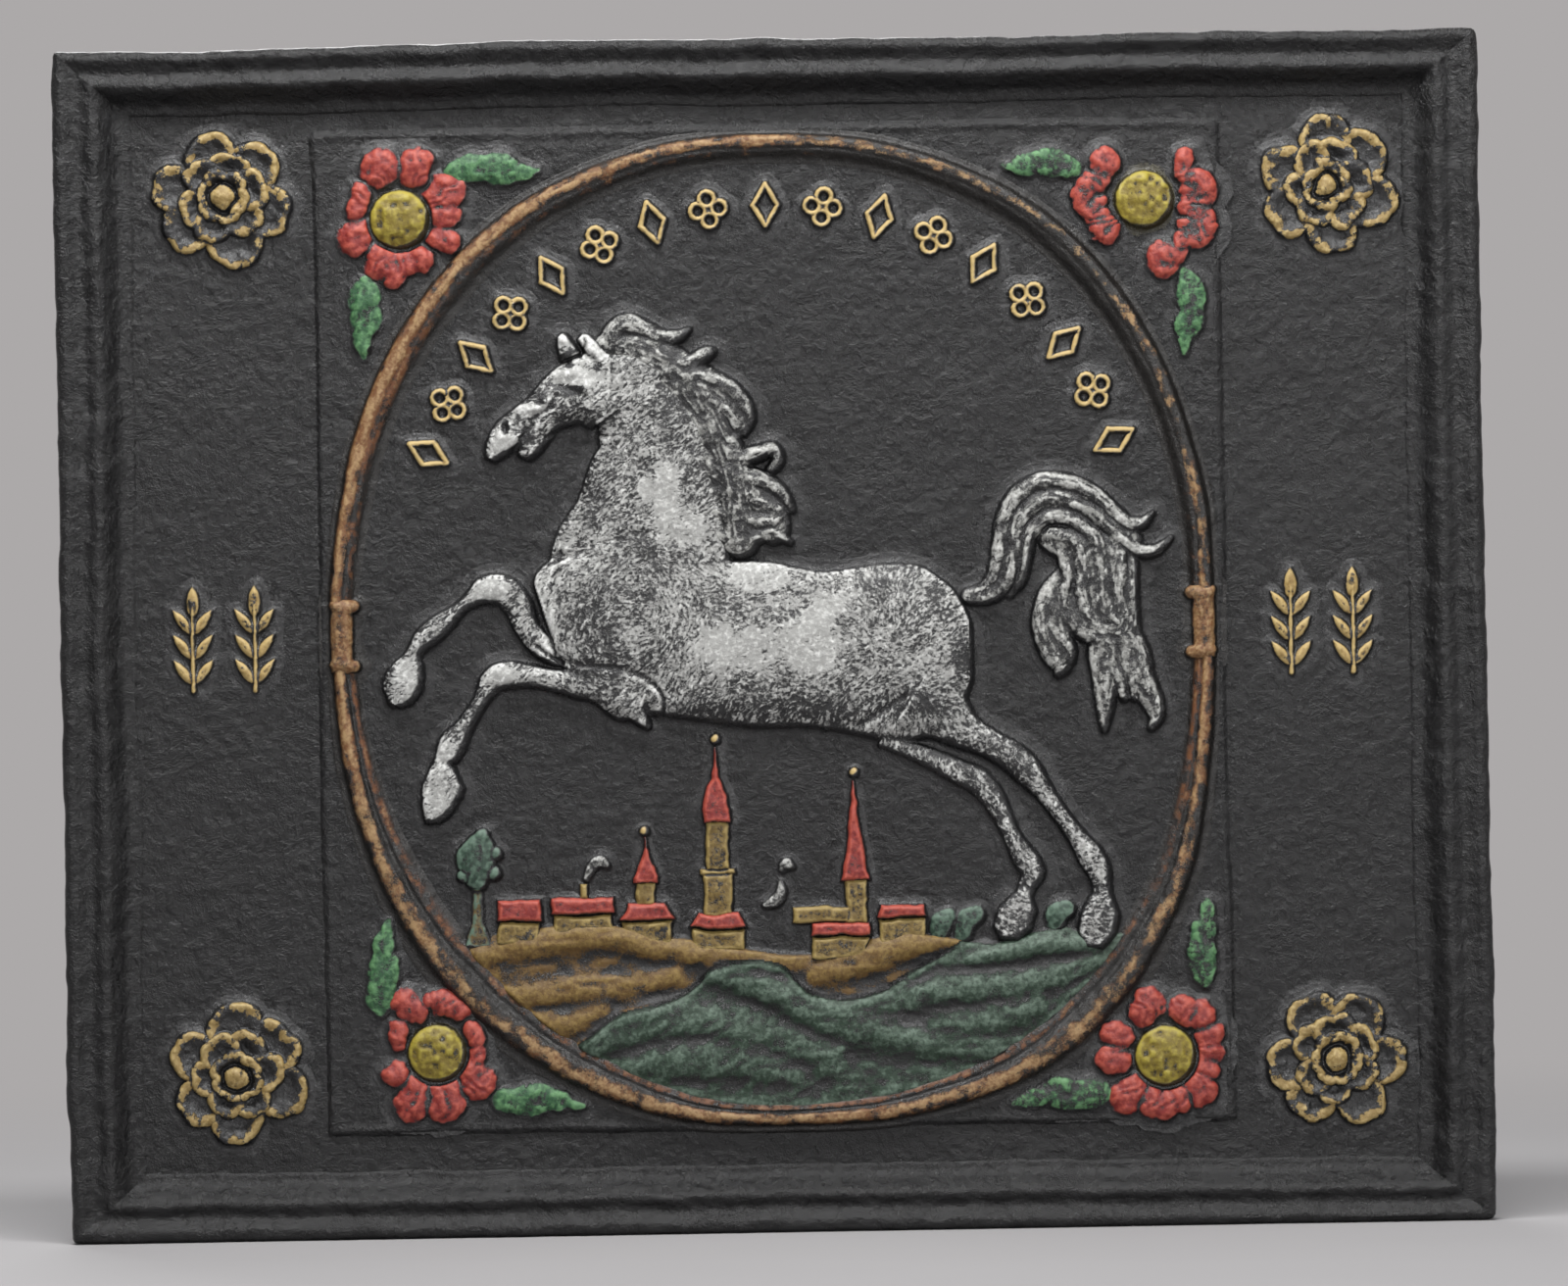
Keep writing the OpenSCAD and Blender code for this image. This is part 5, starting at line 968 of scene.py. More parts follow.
# How far the field and the hills reach past their common edge
EDGE_LAP = 0.7
carving = Carving(-158, 158, 42, 146, 0.7)
x, z = carving.x, carving.z
for ridge in RIDGES:
    carving.rib(ridge, 1.5 * (RIDGE_RISE - LAND_RISE), fullness=1.1, melt=1.0)
edge_line, hill_line = spline(GROUND_EDGE, 6), spline(HILL_EDGE, 6)
under_edge = np.interp(x, edge_line[:, 0], edge_line[:, 1]) - z
under_hill = np.interp(x, hill_line[:, 0], hill_line[:, 1]) - z
angle = np.degrees(np.arctan2(z - OVAL_Z, x))
rim_x, rim_z = oval(OVAL_A - HOOP_BAND, OVAL_B - HOOP_BAND, angle, OPENING_POWERS)
inside_oval = np.hypot(rim_x, rim_z - OVAL_Z) - np.hypot(x, z - OVAL_Z)
depth = np.minimum(under_edge, inside_oval + 3)
lie = 0.55 * rough(x, z, 12, 81) + 0.4 * strokes(x, z, 20 + 30 * swell(x, z, 40, 84), 9, 2.4, 85)
land = np.maximum(soften(carving.height, 2.0) + LAND_RISE + lie, 0.4) * ease((depth + 0.6) / 2.4)
# A crisp step of light along the hills' edge where they stand before the field
land += (0.5 * ease(under_hill / 1.4) + 0.8 * bell(under_hill - 2.2, 2.4)) * ease(depth / 3)
for name, node, mine, material, slot in (
        ("field_ground", "field", under_hill < EDGE_LAP, OCHRE, "ochre_paint"),
        ("hill_ground", "hills", under_hill > -EDGE_LAP, HILL_GREEN, "hill_green_paint")):
    carving.height = land
    carving.beyond = np.where(mine, -depth, carving.FAR)
    carving.set_down(name, [node], material, slot, PANEL_RISE, lip=0.3, lip_width=0.6, crest_size=2.2,
                     crest=0.35, wear=0.16 * rough(x, z, 9, 83))


# The town: houses and churches as plain raised outlines, walls in ochre and roofs in red, with a gilt
# ball on every spire. The walls are scratched and rubbed, the roofs brighter.
RED = painted("Red paint", (114, 17, 10), (162, 68, 52), wear=0.32, size=1100.0, shine=0.6, softness=0.34)
WALL_OCHRE = painted("Ochre paint on the walls", (98, 78, 32), (144, 124, 72), wear=0.42,
                     patchiness=1.3, softness=0.35)
GOLD = painted("Gilt paint", (126, 100, 48), (174, 150, 96), wear=0.6, size=1000.0, patchiness=3.0,
               shine=0.6, softness=0.3)
WALL_RISE = 3.5
ROOF_RISE = 4.8
# Each building is left, right, foot, eaves, ridge, the roof's overhang, and how far it draws in
LEFT_COTTAGE = (-118, -100, 122, 132, 142, 1, 0.5)
LONG_HOUSE = (-95, -69, 124, 135, 142, 1, 0.5)
SMALL_NAVE = (-66, -44, 121, 132, 139.5, 1, 4)
TALL_NAVE = (-36, -14, 118, 128, 134.5, 1.5, 4)
SPIRE_NAVE = (14, 38.5, 114, 124, 130, 0.5, 0.5)
RIGHT_COTTAGE = (42, 62, 120, 131, 137, 0.5, 1.5)
# Each spire is half widths and heights, from its foot up
SMALL_SPIRE = [[5.2, 147], [5.5, 150], [4.2, 154.5], [2, 159.5], [1, 163], [0.5, 167]]
TALL_SPIRE = [[5.6, 172], [6, 178], [5.2, 184.5], [4, 188], [1.8, 192], [1, 198], [0.5, 205]]
NEEDLE = [[6.4, 147], [5.6, 153], [4, 163], [2.5, 174], [1.4, 182], [0.6, 190]]
SMALL_MIDDLE, TALL_MIDDLE, NEEDLE_MIDDLE = -55.5, -25, 33
BALL_R, BALL_UP = 2.5, 2.5


def walls(building):
    """The outline of a building's walls"""
    left, right, foot, eaves = building[:4]
    return [[left, foot], [right, foot], [right, eaves], [left, eaves]]


def roof(building):
    """The outline of a building's roof"""
    left, right, _, eaves, ridge, over, draw = building
    return [[left - over, eaves], [right + over, eaves], [right + over - draw, ridge],
            [left - over + draw, ridge]]


def spire(middle, half):
    """The outline of a spire"""
    return [[middle + w, h] for w, h in half] + [[middle - w, h] for w, h in half[::-1]]


def stage(middle, half, foot, head):
    """The outline of one stage of a tower"""
    return walls((middle - half, middle + half, foot, head))


TOWN_WALLS = {
    "left_cottage": [walls(LEFT_COTTAGE)],
    "long_house": [walls(LONG_HOUSE), stage(-81, 2, 141, 148)],
    "small_church": [walls(SMALL_NAVE), stage(SMALL_MIDDLE, 4.2, 138, 148)],
    "tall_church": [walls(TALL_NAVE), stage(TALL_MIDDLE, 6.2, 133, 151), stage(TALL_MIDDLE, 7.4, 150, 153),
                    stage(TALL_MIDDLE, 4.8, 152, 173)],
    "spire_church": [walls(SPIRE_NAVE), stage(NEEDLE_MIDDLE, 4.8, 129, 148), stage(18, 12, 129.5, 137)],
    "right_cottage": [walls(RIGHT_COTTAGE)]}
TOWN_ROOFS = {
    "left_cottage": [roof(LEFT_COTTAGE)],
    "long_house": [roof(LONG_HOUSE)],
    "small_church": [roof(SMALL_NAVE), spire(SMALL_MIDDLE, SMALL_SPIRE)],
    "tall_church": [roof(TALL_NAVE), spire(TALL_MIDDLE, TALL_SPIRE)],
    "spire_church": [roof(SPIRE_NAVE), spire(NEEDLE_MIDDLE, NEEDLE)],
    "right_cottage": [roof(RIGHT_COTTAGE)]}


def room_for(points, margin, step):
    """An empty carving that holds some points, with a margin"""
    low, high = np.min(points, 0) - margin, np.max(points, 0) + margin
    return Carving(low[0], high[0], low[1], high[1], step)


for kind, buildings, rise, material, slot, lip in (
        ("wall", TOWN_WALLS, WALL_RISE, WALL_OCHRE, "ochre_paint", 0.5),
        ("roof", TOWN_ROOFS, ROOF_RISE, RED, "red_paint", 1.0)):
    for name, outlines in buildings.items():
        carving = room_for(np.concatenate(outlines), 6, 0.4)
        carving.stray((0.7, 9), (0.3, 3.4), (92, 88, 93, 89))
        for points in outlines:
            carving.outline(points, rise, bevel=1.8)
        carving.settle()
        carving.roughen(0.5, 4.5, 91, foot=2)
        carving.set_down(f"{name}_{kind}_relief", [f"{name}_{kind}"], material, slot, PANEL_RISE, lip=lip,
                         lip_width=1.8, crest=0.6, shade=0.5, paint_edge=-0.3,
                         wear=0.1 * rough(carving.x, carving.z, 2.4, 90))

carving = Carving(-62, 40, 164, 214, 0.4)
for middle, half in ((SMALL_MIDDLE, SMALL_SPIRE), (TALL_MIDDLE, TALL_SPIRE), (NEEDLE_MIDDLE, NEEDLE)):
    ball_z = half[-1][1] + BALL_UP
    carving.rib([[middle, ball_z, BALL_R, 1], [middle, ball_z + 0.1, BALL_R, 1]], WALL_RISE)
carving.set_down("spire_gilt_balls", ["spire_balls"], GOLD, "gold_paint", PANEL_RISE, lip=0.7, lip_width=1.2)


# The hedges, the tree and the smoke: small soft forms among the houses, the green ones brushed thin,
# the smoke touched with white.
LEAF_GREEN = painted("Leaf green paint", (29, 71, 40), (88, 131, 86), wear=0.38, size=1000.0, softness=0.34)
DARK_GREEN = painted("Thin green paint", (29, 52, 39), (82, 104, 89), wear=0.44, patchiness=1.3,
                     softness=0.34, tinge=(88, 68, 30))
# Each hedge is left, right, foot and head
HEDGES = [(64, 76, 122, 135), (74, 88, 122, 136), (113, 126, 126, 137.5)]
CROWN = [[[-126.5, 151, 5.5, 0.85], [-126, 157, 8, 1], [-125, 163, 7, 0.95], [-124.5, 168, 3.4, 0.7]],
         [[-130.5, 154, 3.6, 0.7], [-131, 160, 4.4, 0.8], [-128, 165, 3.6, 0.75]]]
CROWN_LOBES = [(-132, 152, 3.2), (-119.4, 153, 3.6), (-118.6, 161, 3.4), (-124, 168.5, 3.6), (-126, 149, 4)]
CROWN_FOOT = 147
TRUNK = [[-132.5, 121], [-119.5, 121], [-121, 126], [-123.2, 132], [-123.5, CROWN_FOOT],
         [-128.5, CROWN_FOOT], [-129, 132], [-131, 127]]
TRUNK_RISE = 2.1
SMOKE = [[[-80, 150, 1.8, 0.6], [-78, 154.5, 2.6, 0.8], [-74.5, 157, 3, 0.85], [-71.5, 155, 1.8, 0.6]],
         [[-5, 137.5, 1.8, 0.6], [-1, 139, 3, 0.85], [1.6, 142.5, 2.8, 0.8], [1.5, 147, 1.4, 0.5]],
         [[2.4, 152.5, 2, 0.6], [4, 154.6, 3, 0.85], [6.2, 153.5, 1.8, 0.6]]]
carving = Carving(60, 128, 116, 144, 0.45)
for left, right, foot, head in HEDGES:
    bush = [[left + 4, foot + 2, 4.5, 0.7], [left + 5, (foot + head) / 2, 5.5, 1],
            [right - 4.5, head - 4, 4.5, 0.9]]
    carving.rib(bush, WALL_RISE, fullness=0.6)
carving.roughen(0.5, 4, 95)
carving.set_down("hedge_rows", ["hedges"], DARK_GREEN, "leaf_green_paint", PANEL_RISE, lip=0.8, lip_width=1.8)

carving = Carving(-142, -112, 114, 174, 0.45)
for mass in CROWN:
    carving.rib(mass, ROOF_RISE)
for x, z, size in CROWN_LOBES:
    carving.rib([[x, z, size, 0.85], [x + 0.3, z, size, 0.85]], ROOF_RISE, melt=0.4)
carving.outline(TRUNK, TRUNK_RISE, bevel=2)
carving.roughen(0.45, 4, 96)
carving.set_down("tree_relief", ["tree"], DARK_GREEN, "leaf_green_paint", PANEL_RISE, lip=0.8, lip_width=2.2,
                 layers={"tinge": ease((CROWN_FOOT - carving.z) / 2)})

carving = Carving(-88, 14, 130, 164, 0.4)
for curl in SMOKE:
    carving.rib(curl, WALL_RISE)
carving.roughen(0.5, 2.6, 97)
carving.set_down("smoke_curls", ["chimney_smoke"], GREY, "silver_paint", PANEL_RISE, lip=0.8, lip_width=1.8,
                 crest=0.4, wear=0.06)


# The arch over the horse: open lozenges and quatrefoils by turns, raised lines like wire, gilded on
# top and left black at the sides.
ARCH_FIRST, ARCH_LAST, ARCH_COUNT = 28, 152, 17
ARCH_INSET = 21
LOZENGE_H, LOZENGE_W, QUATREFOIL_D = 24, 14, 18
LINE_W, LINE_RISE = 3.2, 3


def turned(points, x, z, angle):
    """Points turned about the origin and moved to x, z"""
    c, s = math.cos(math.radians(angle)), math.sin(math.radians(angle))
    return [[x + c * p[0] - s * p[1], z + s * p[0] + c * p[1], *p[2:]] for p in points]


def wire(carving, points, half):
    """A raised line of even width through the points"""
    carving.rib([[p[0], p[1], half, 1] for p in points], LINE_RISE, fullness=0.5, melt=0.4, steps=1)


w, h = LOZENGE_W / 2 - LINE_W * 0.55, LOZENGE_H / 2 - LINE_W
RHOMBUS = [[0, h], [-w, 0], [0, -h], [w, 0], [0, h]]
# One lobe of a quatrefoil, a ring beside the middle
lobe = QUATREFOIL_D / 4
ring = lobe - LINE_W / 2 + 0.3
RING = [[lobe + ring * math.cos(a), ring * math.sin(a)] for a in np.linspace(0, 2 * math.pi, 13)]
for first, name, node in ((0, "lozenge_row", "arch_lozenges"), (1, "quatrefoil_row", "arch_quatrefoils")):
    carving = Carving(-172, 172, 320, 462, 0.45)
    for i in range(first, ARCH_COUNT, 2):
        angle = ARCH_LAST + (ARCH_FIRST - ARCH_LAST) * i / (ARCH_COUNT - 1)
        x, z = oval(OVAL_A - HOOP_BAND - ARCH_INSET, OVAL_B - HOOP_BAND - ARCH_INSET, angle, OPENING_POWERS)
        if first == 0:
            wire(carving, turned(RHOMBUS, x, z, angle - 90), LINE_W / 2)
        else:
            for quarter in (0, 90, 180, 270):
                wire(carving, turned(turned(RING, 0, 0, quarter), x, z, angle - 90), LINE_W / 2 - 0.1)
    carving.roughen(0.25, 3, 98)
    carving.set_down(name, [node], GOLD, "gold_paint", PANEL_RISE, lip=1.0, lip_width=2.6, crest_size=0.7,
                     paint_edge=-0.1, shade=0.45)


# The sprigs: a stem with three pairs of leaves and a bud, two to each side field, raised in one with
# the slab and gilt like the arch.
SPRIG_H, SPRIG_PITCH, SPRIG_RISE = 44, 26, 3
SPRIG_LEAF_TURN = 38
# Where each pair of leaves and the bud start on the stem, and how long they are: shares of its height
SPRIG_ROOTS = (0.06, 0.3, 0.54)
BUD_ROOT, BLADE_SHARE = 0.7, 0.3
BUD_W, SPRIG_LEAF_W = 6, 4.8
SIDE_FIELD_MIDDLE = 231.25


def blade(length, width):
    """A pointed leaf standing on its stalk"""
    return [[0, 0, 0.5, 0.6], [0, length * 0.25, width * 0.42, 0.9], [0, length * 0.5, width * 0.5, 1],
            [0, length * 0.75, width * 0.38, 0.95], [0, length, 0.4, 0.7]]


for side, name in ((-1, "left_sprigs"), (1, "right_sprigs")):
    middle = side * SIDE_FIELD_MIDDLE
    carving = Carving(middle - 26, middle + 26, OVAL_Z - 28, OVAL_Z + 28, 0.4)
    for k in (-0.5, 0.5):
        x, z = middle + k * SPRIG_PITCH, OVAL_Z - SPRIG_H / 2
        carving.rib([[x, z, 1.3, 0.9], [x + 0.4 * k, z + 18, 1.1, 1], [x, z + 36, 0.9, 0.9]], SPRIG_RISE)
        bud = blade(SPRIG_H * BLADE_SHARE, BUD_W)
        carving.rib(turned(bud, x, z + SPRIG_H * BUD_ROOT, 0), SPRIG_RISE)
        for root in SPRIG_ROOTS:
            for turn in (-SPRIG_LEAF_TURN, SPRIG_LEAF_TURN):
                leaf = blade(SPRIG_H * BLADE_SHARE, SPRIG_LEAF_W)
                carving.rib(turned(leaf, x, z + root * SPRIG_H, turn), SPRIG_RISE, melt=0.5)
    carving.roughen(0.2, 3, 99)
    carving.set_down(name + "_relief", [name], GOLD, "gold_paint", 0, lip=1.0, lip_width=2.6, crest_size=0.7,
                     paint_edge=-0.5, shade=0.45)


# The rosettes: three tiers of cupped petals round a boss in each corner of the frame. Only their
# rims were gilded, and the cups are black.
GILT_RIM = painted("Gilt paint on the rims", (128, 105, 56), (180, 158, 106), wear=0.51, size=1400.0,
                   patchiness=2.6, shine=0.6, softness=0.14)
ROSETTE_R, ROSETTE_RISE = 30, 7
BOSS_R = 6.2
# Each tier of petals: distance and radius as shares of the rosette's, the rims' height, and a turn
ROSETTE_TIERS = [(0.62, 0.4, 0.55, 0), (0.38, 0.31, 0.76, 30), (0.2, 0.22, 0.92, 0)]
# The petals overlap in this order
PETAL_ORDER = (0, 2, 4, 1, 3, 5)
ROSETTES = [("top_left", -229, 439, 45), ("top_right", 236.5, 436.5, 35),
            ("bottom_left", -229, 69.5, 33), ("bottom_right", 234, 68, 0)]
for seed, (corner, middle_x, middle_z, turn) in enumerate(ROSETTES):
    carving = Carving(middle_x - 38, middle_x + 38, middle_z - 38, middle_z + 38, 0.45)
    x = carving.x - middle_x + 1.3 * swell(carving.x, carving.z, 11, 101 + seed)
    z = carving.z - middle_z + 1.3 * swell(carving.x, carving.z, 11, 105 + seed)
    rim = np.zeros_like(x)
    for away, size, tall, offset in ROSETTE_TIERS:
        for k in PETAL_ORDER:
            a = math.radians(turn + offset + 60 * k + 5 * math.sin(3.7 * k + seed))
            px, pz = x - away * ROSETTE_R * math.cos(a), z - away * ROSETTE_R * math.sin(a)
            off = np.hypot(px, pz)
            outward = (px * math.cos(a) + pz * math.sin(a)) / np.maximum(off, 0.5)
            side = (pz * math.cos(a) - px * math.sin(a)) / np.maximum(off, 0.5)
            # No two petals are alike, and each is nicked at the middle of its rim
            nick = 0.09 * bell(side, 0.3) * (outward > 0)
            radius = size * ROSETTE_R * (1 + 0.05 * math.sin(5.1 * k + seed) - nick)
            standing = ease((outward + 0.75) / 0.7)
            ridge = bell(radius - 2.4 - off, 2.7)
            edge = np.clip((radius - off) / 1.3, 0, 1)
            cup = ease((radius - 4 - off) / 5)
            here = tall * ROSETTE_RISE * (0.72 + 0.28 * ridge * standing - 0.22 * cup)
            here = here * (1 - (1 - edge) ** 2) ** 0.5
            over = (off < radius) & ((here > carving.height - 0.4) | (outward < 0.9) & (edge > 0.9))
            rim = np.where(over, ridge * standing, rim)
            carving.height = np.where(over, here, carving.height)
            carving.beyond = np.minimum(carving.beyond, off - radius)
    off = np.hypot(x, z) * (1 + 0.12 * swell(carving.x, carving.z, 4, 115 + seed))
    boss = ROSETTE_RISE * (1 - np.clip(off / BOSS_R, 0, 1) ** 2.6) ** 0.5
    rim = np.where(boss > carving.height, 1.5 * ease((BOSS_R - off) / 1.5), rim * ease((off - 5.5) / 2))
    carving.height = np.maximum(carving.height * (0.45 + 0.55 * ease((off - 5.5) / 2.5)), boss)
    carving.roughen(0.6, 4.5, 110 + seed)
    brushed = (np.minimum(rim, 1.6) + 0.9 * rough(carving.x, carving.z, 5, 118 + seed)
               + 0.5 * rough(carving.x, carving.z, 1.8, 122 + seed) - 0.95)
    carving.set_down(f"rosette_{corner}_relief", [f"rosette_{corner}"], GILT_RIM, "gold_paint", 0, lip=1.2,
                     lip_width=3, crest=0.25, wear=-0.7 * brushed, layers={"cover": ease(rim * 2.8)})


# The flowers: plump red petals round a pebbled yellow eye, one flower to each corner of the panel.
# The carver made no two alike, so each has its own petals.
YELLOW = painted("Yellow paint", (104, 88, 12), (150, 136, 46), wear=0.3, size=1000.0, patchiness=0.8,
                 under=(40, 36, 18), shine=0.55)
PETAL_RISE, EYE_RISE = 4.5, 5.5
PETAL_SPREAD = 1.9
# Each flower: the eye's x, z and radius, how worn it is, and the petals as ribs
FLOWERS = {
    "top_left": ((-154.3, 428.7, 12.6), 0.0,
        [[[-163, 449, 6.2, 0.95], [-161.5, 451, 6.7, 1]], [[-148, 449, 6.2, 0.95], [-147, 451.3, 6.5, 1]],
         [[-137.5, 437.5, 5.8, 0.95], [-133.8, 440.3, 6.5, 1]],
         [[-137.5, 429, 3.8, 0.9], [-133.2, 430.3, 4.2, 0.95]],
         [[-137.5, 421, 3.8, 0.9], [-134, 419.6, 4.5, 0.95]],
         [[-146.4, 413, 3.6, 0.9], [-145.2, 410.7, 4.3, 0.95]],
         [[-161.5, 413, 5, 0.9], [-162.3, 409.4, 5.4, 1]],
         [[-156, 409.6, 4.8, 0.9], [-156.6, 405.8, 4.5, 0.95]],
         [[-151.6, 411.5, 3, 0.85], [-150.4, 409.2, 3.4, 0.9]],
         [[-171.5, 422.5, 5.6, 0.95], [-173.3, 420.3, 6.4, 1]],
         [[-170.3, 441, 2.8, 0.85], [-170.8, 436, 3.1, 0.9], [-172.4, 431.3, 2.7, 0.85]]]),
    "top_right": ((159.3, 431.7, 12.3), 0.22,
        [[[142.8, 447.6, 5.3, 1], [143.3, 446.9, 5.3, 1]], [[142, 443, 2.9, 0.8], [140.3, 439, 3.3, 0.85]],
         [[141, 439.5, 3.1, 0.9], [136.6, 438.3, 4, 1], [133.8, 433.6, 4, 1], [136, 429.6, 3.5, 0.95],
          [139.6, 431.3, 2.8, 0.85]],
         [[136.2, 428.5, 3.3, 0.9], [140, 424.5, 4.1, 0.95], [142.8, 419, 5.4, 1]],
         [[176.8, 449, 3.4, 0.95], [176.8, 443.4, 3.2, 0.9], [181.4, 440.6, 3.8, 1], [185.6, 436.2, 3.9, 1],
          [184.6, 431.8, 3.4, 0.95], [179.3, 430.6, 3.1, 0.85]],
         [[178.5, 436.2, 2.8, 0.85], [183, 434.6, 2.4, 0.85]],
         [[178.5, 427.6, 3, 0.85], [183, 424.4, 3.8, 0.95], [185.4, 419.5, 4.1, 1],
          [182.8, 414.9, 3.7, 0.95], [176, 414.6, 3.4, 0.9]],
         [[177, 420.2, 2.7, 0.85], [182, 419.2, 2.5, 0.9]],
         [[173.9, 413.2, 3.1, 0.9], [172.6, 408, 3.6, 0.9]],
         [[167.4, 407.6, 6.4, 1], [167.7, 406.2, 6.6, 1]]]),
    "bottom_left": ((-144.6, 77.5, 12.3), 0.06,
        [[[-158, 99, 4.8, 0.95], [-156.3, 97.2, 5.3, 1]],
         [[-152.6, 96, 2.9, 0.9], [-151.4, 94.8, 2.8, 0.85]],
         [[-146, 99.6, 3.4, 0.95], [-140.3, 98.2, 4.6, 1], [-134.6, 94.6, 3.4, 0.9]],
         [[-129.6, 86.5, 3, 0.9], [-127.8, 83, 3.2, 0.9]],
         [[-127.8, 77.8, 2.5, 0.8], [-128.2, 74.6, 2.5, 0.8]],
         [[-130, 69, 4.8, 0.95], [-127.4, 65.2, 6.7, 1]], [[-141, 61, 5.8, 0.95], [-141, 55.9, 7.1, 1]],
         [[-154, 62, 5.3, 0.95], [-155.3, 56.4, 6.7, 1]], [[-161, 70, 3.4, 0.9], [-162.3, 68.2, 4, 0.95]],
         [[-160.6, 89.6, 2.5, 0.85], [-161, 84, 2.5, 0.85], [-160.2, 81.2, 2, 0.75]]]),
    "bottom_right": ((162, 71.2, 12.9), 0.02,
        [[[152.5, 89, 4.8, 0.95], [156, 92.7, 6.4, 1]], [[169.6, 90.6, 5.2, 1], [171, 89, 5, 0.95]],
         [[178, 87.2, 5, 1], [176.8, 88.4, 4.8, 0.95]], [[180, 79.2, 4.6, 0.95], [182.3, 80, 4.2, 0.95]],
         [[179.4, 72.6, 4.4, 0.95], [181.8, 72, 4.2, 0.95]],
         [[177.8, 66.2, 3.2, 0.9], [179.8, 65.2, 3.3, 0.9]], [[175, 60, 4.4, 0.95], [177.6, 55.6, 5.2, 1]],
         [[156.6, 53.2, 4.4, 0.95], [156.2, 50.4, 4.2, 1]], [[162, 52, 4.6, 1], [162, 49.3, 4.1, 1]],
         [[168, 53.6, 4.2, 0.95], [168.4, 51.4, 3.9, 0.95]], [[149, 57, 4.8, 0.95], [145.8, 53.9, 6, 1]],
         [[142.5, 69.2, 4.8, 0.95], [139.8, 69.6, 5.4, 1]],
         [[143.5, 79, 4.4, 0.95], [141.2, 80.4, 4.7, 0.95]]])}
for seed, (corner, ((x, z, eye_r), worn, petals)) in enumerate(FLOWERS.items()):
    carving = Carving(x - 40, x + 40, z - 40, z + 40, 0.45)
    carving.stray((0.8, 7), (0.4, 2.8), np.array([196, 200, 204, 208]) + seed)
    for petal in petals:
        carving.rib([[px, pz, half + PETAL_SPREAD, tall] for px, pz, half, tall in petal], PETAL_RISE,
                    melt=1.2, fullness=0.6)
    carving.settle()
    off = np.hypot(carving.x - x, carving.z - z)
    angle = np.arctan2(carving.z - z, carving.x - x)
    crinkle = np.cos(angle * 23 + 5 * swell(carving.x, carving.z, 6, 120 + seed))
    lumps = 0.16 * crinkle + 0.6 * rough(carving.x, carving.z, 5, 124 + seed)
    carving.height += ease(carving.height / 1.5) * lumps
    carving.height *= ease((off - eye_r - 0.6) / 1.2)
    carving.set_down(f"petals_{corner}_relief", [f"petals_{corner}"], RED, "red_paint", PANEL_RISE, lip=1.0,
                     lip_width=2.6, crest_size=1.4, crest=0.5, paint_edge=-0.2, shade=0.6,
                     wear=worn + 0.1 * rough(carving.x, carving.z, 7, 134 + seed)
                     + 0.12 * rough(carving.x, carving.z, 2.2, 138 + seed))
    eye = Carving(x - 19, x + 19, z - 19, z + 19, 0.45)
    eye.rib([[x, z, eye_r, 1], [x + 0.2, z, eye_r, 1]], EYE_RISE, fullness=0.38)
    pebbles = waves(eye.x, eye.z, (1, 2.9, 130 + seed), (0.6, 5.1, 134 + seed))
    eye.height += ease(eye.height / 2) * 0.5 * pebbles
    eye.set_down(f"eye_{corner}_relief", [f"eye_{corner}"], YELLOW, "yellow_paint", PANEL_RISE, lip=0.8,
                 lip_width=1.4)


# The leaves: two beside each flower, blunt towards it and pointed away, with two or three plump lobes
# on either side of a soft hollow.
LEAF_RISE = 3.2
LEAF_SPREAD = 0.9
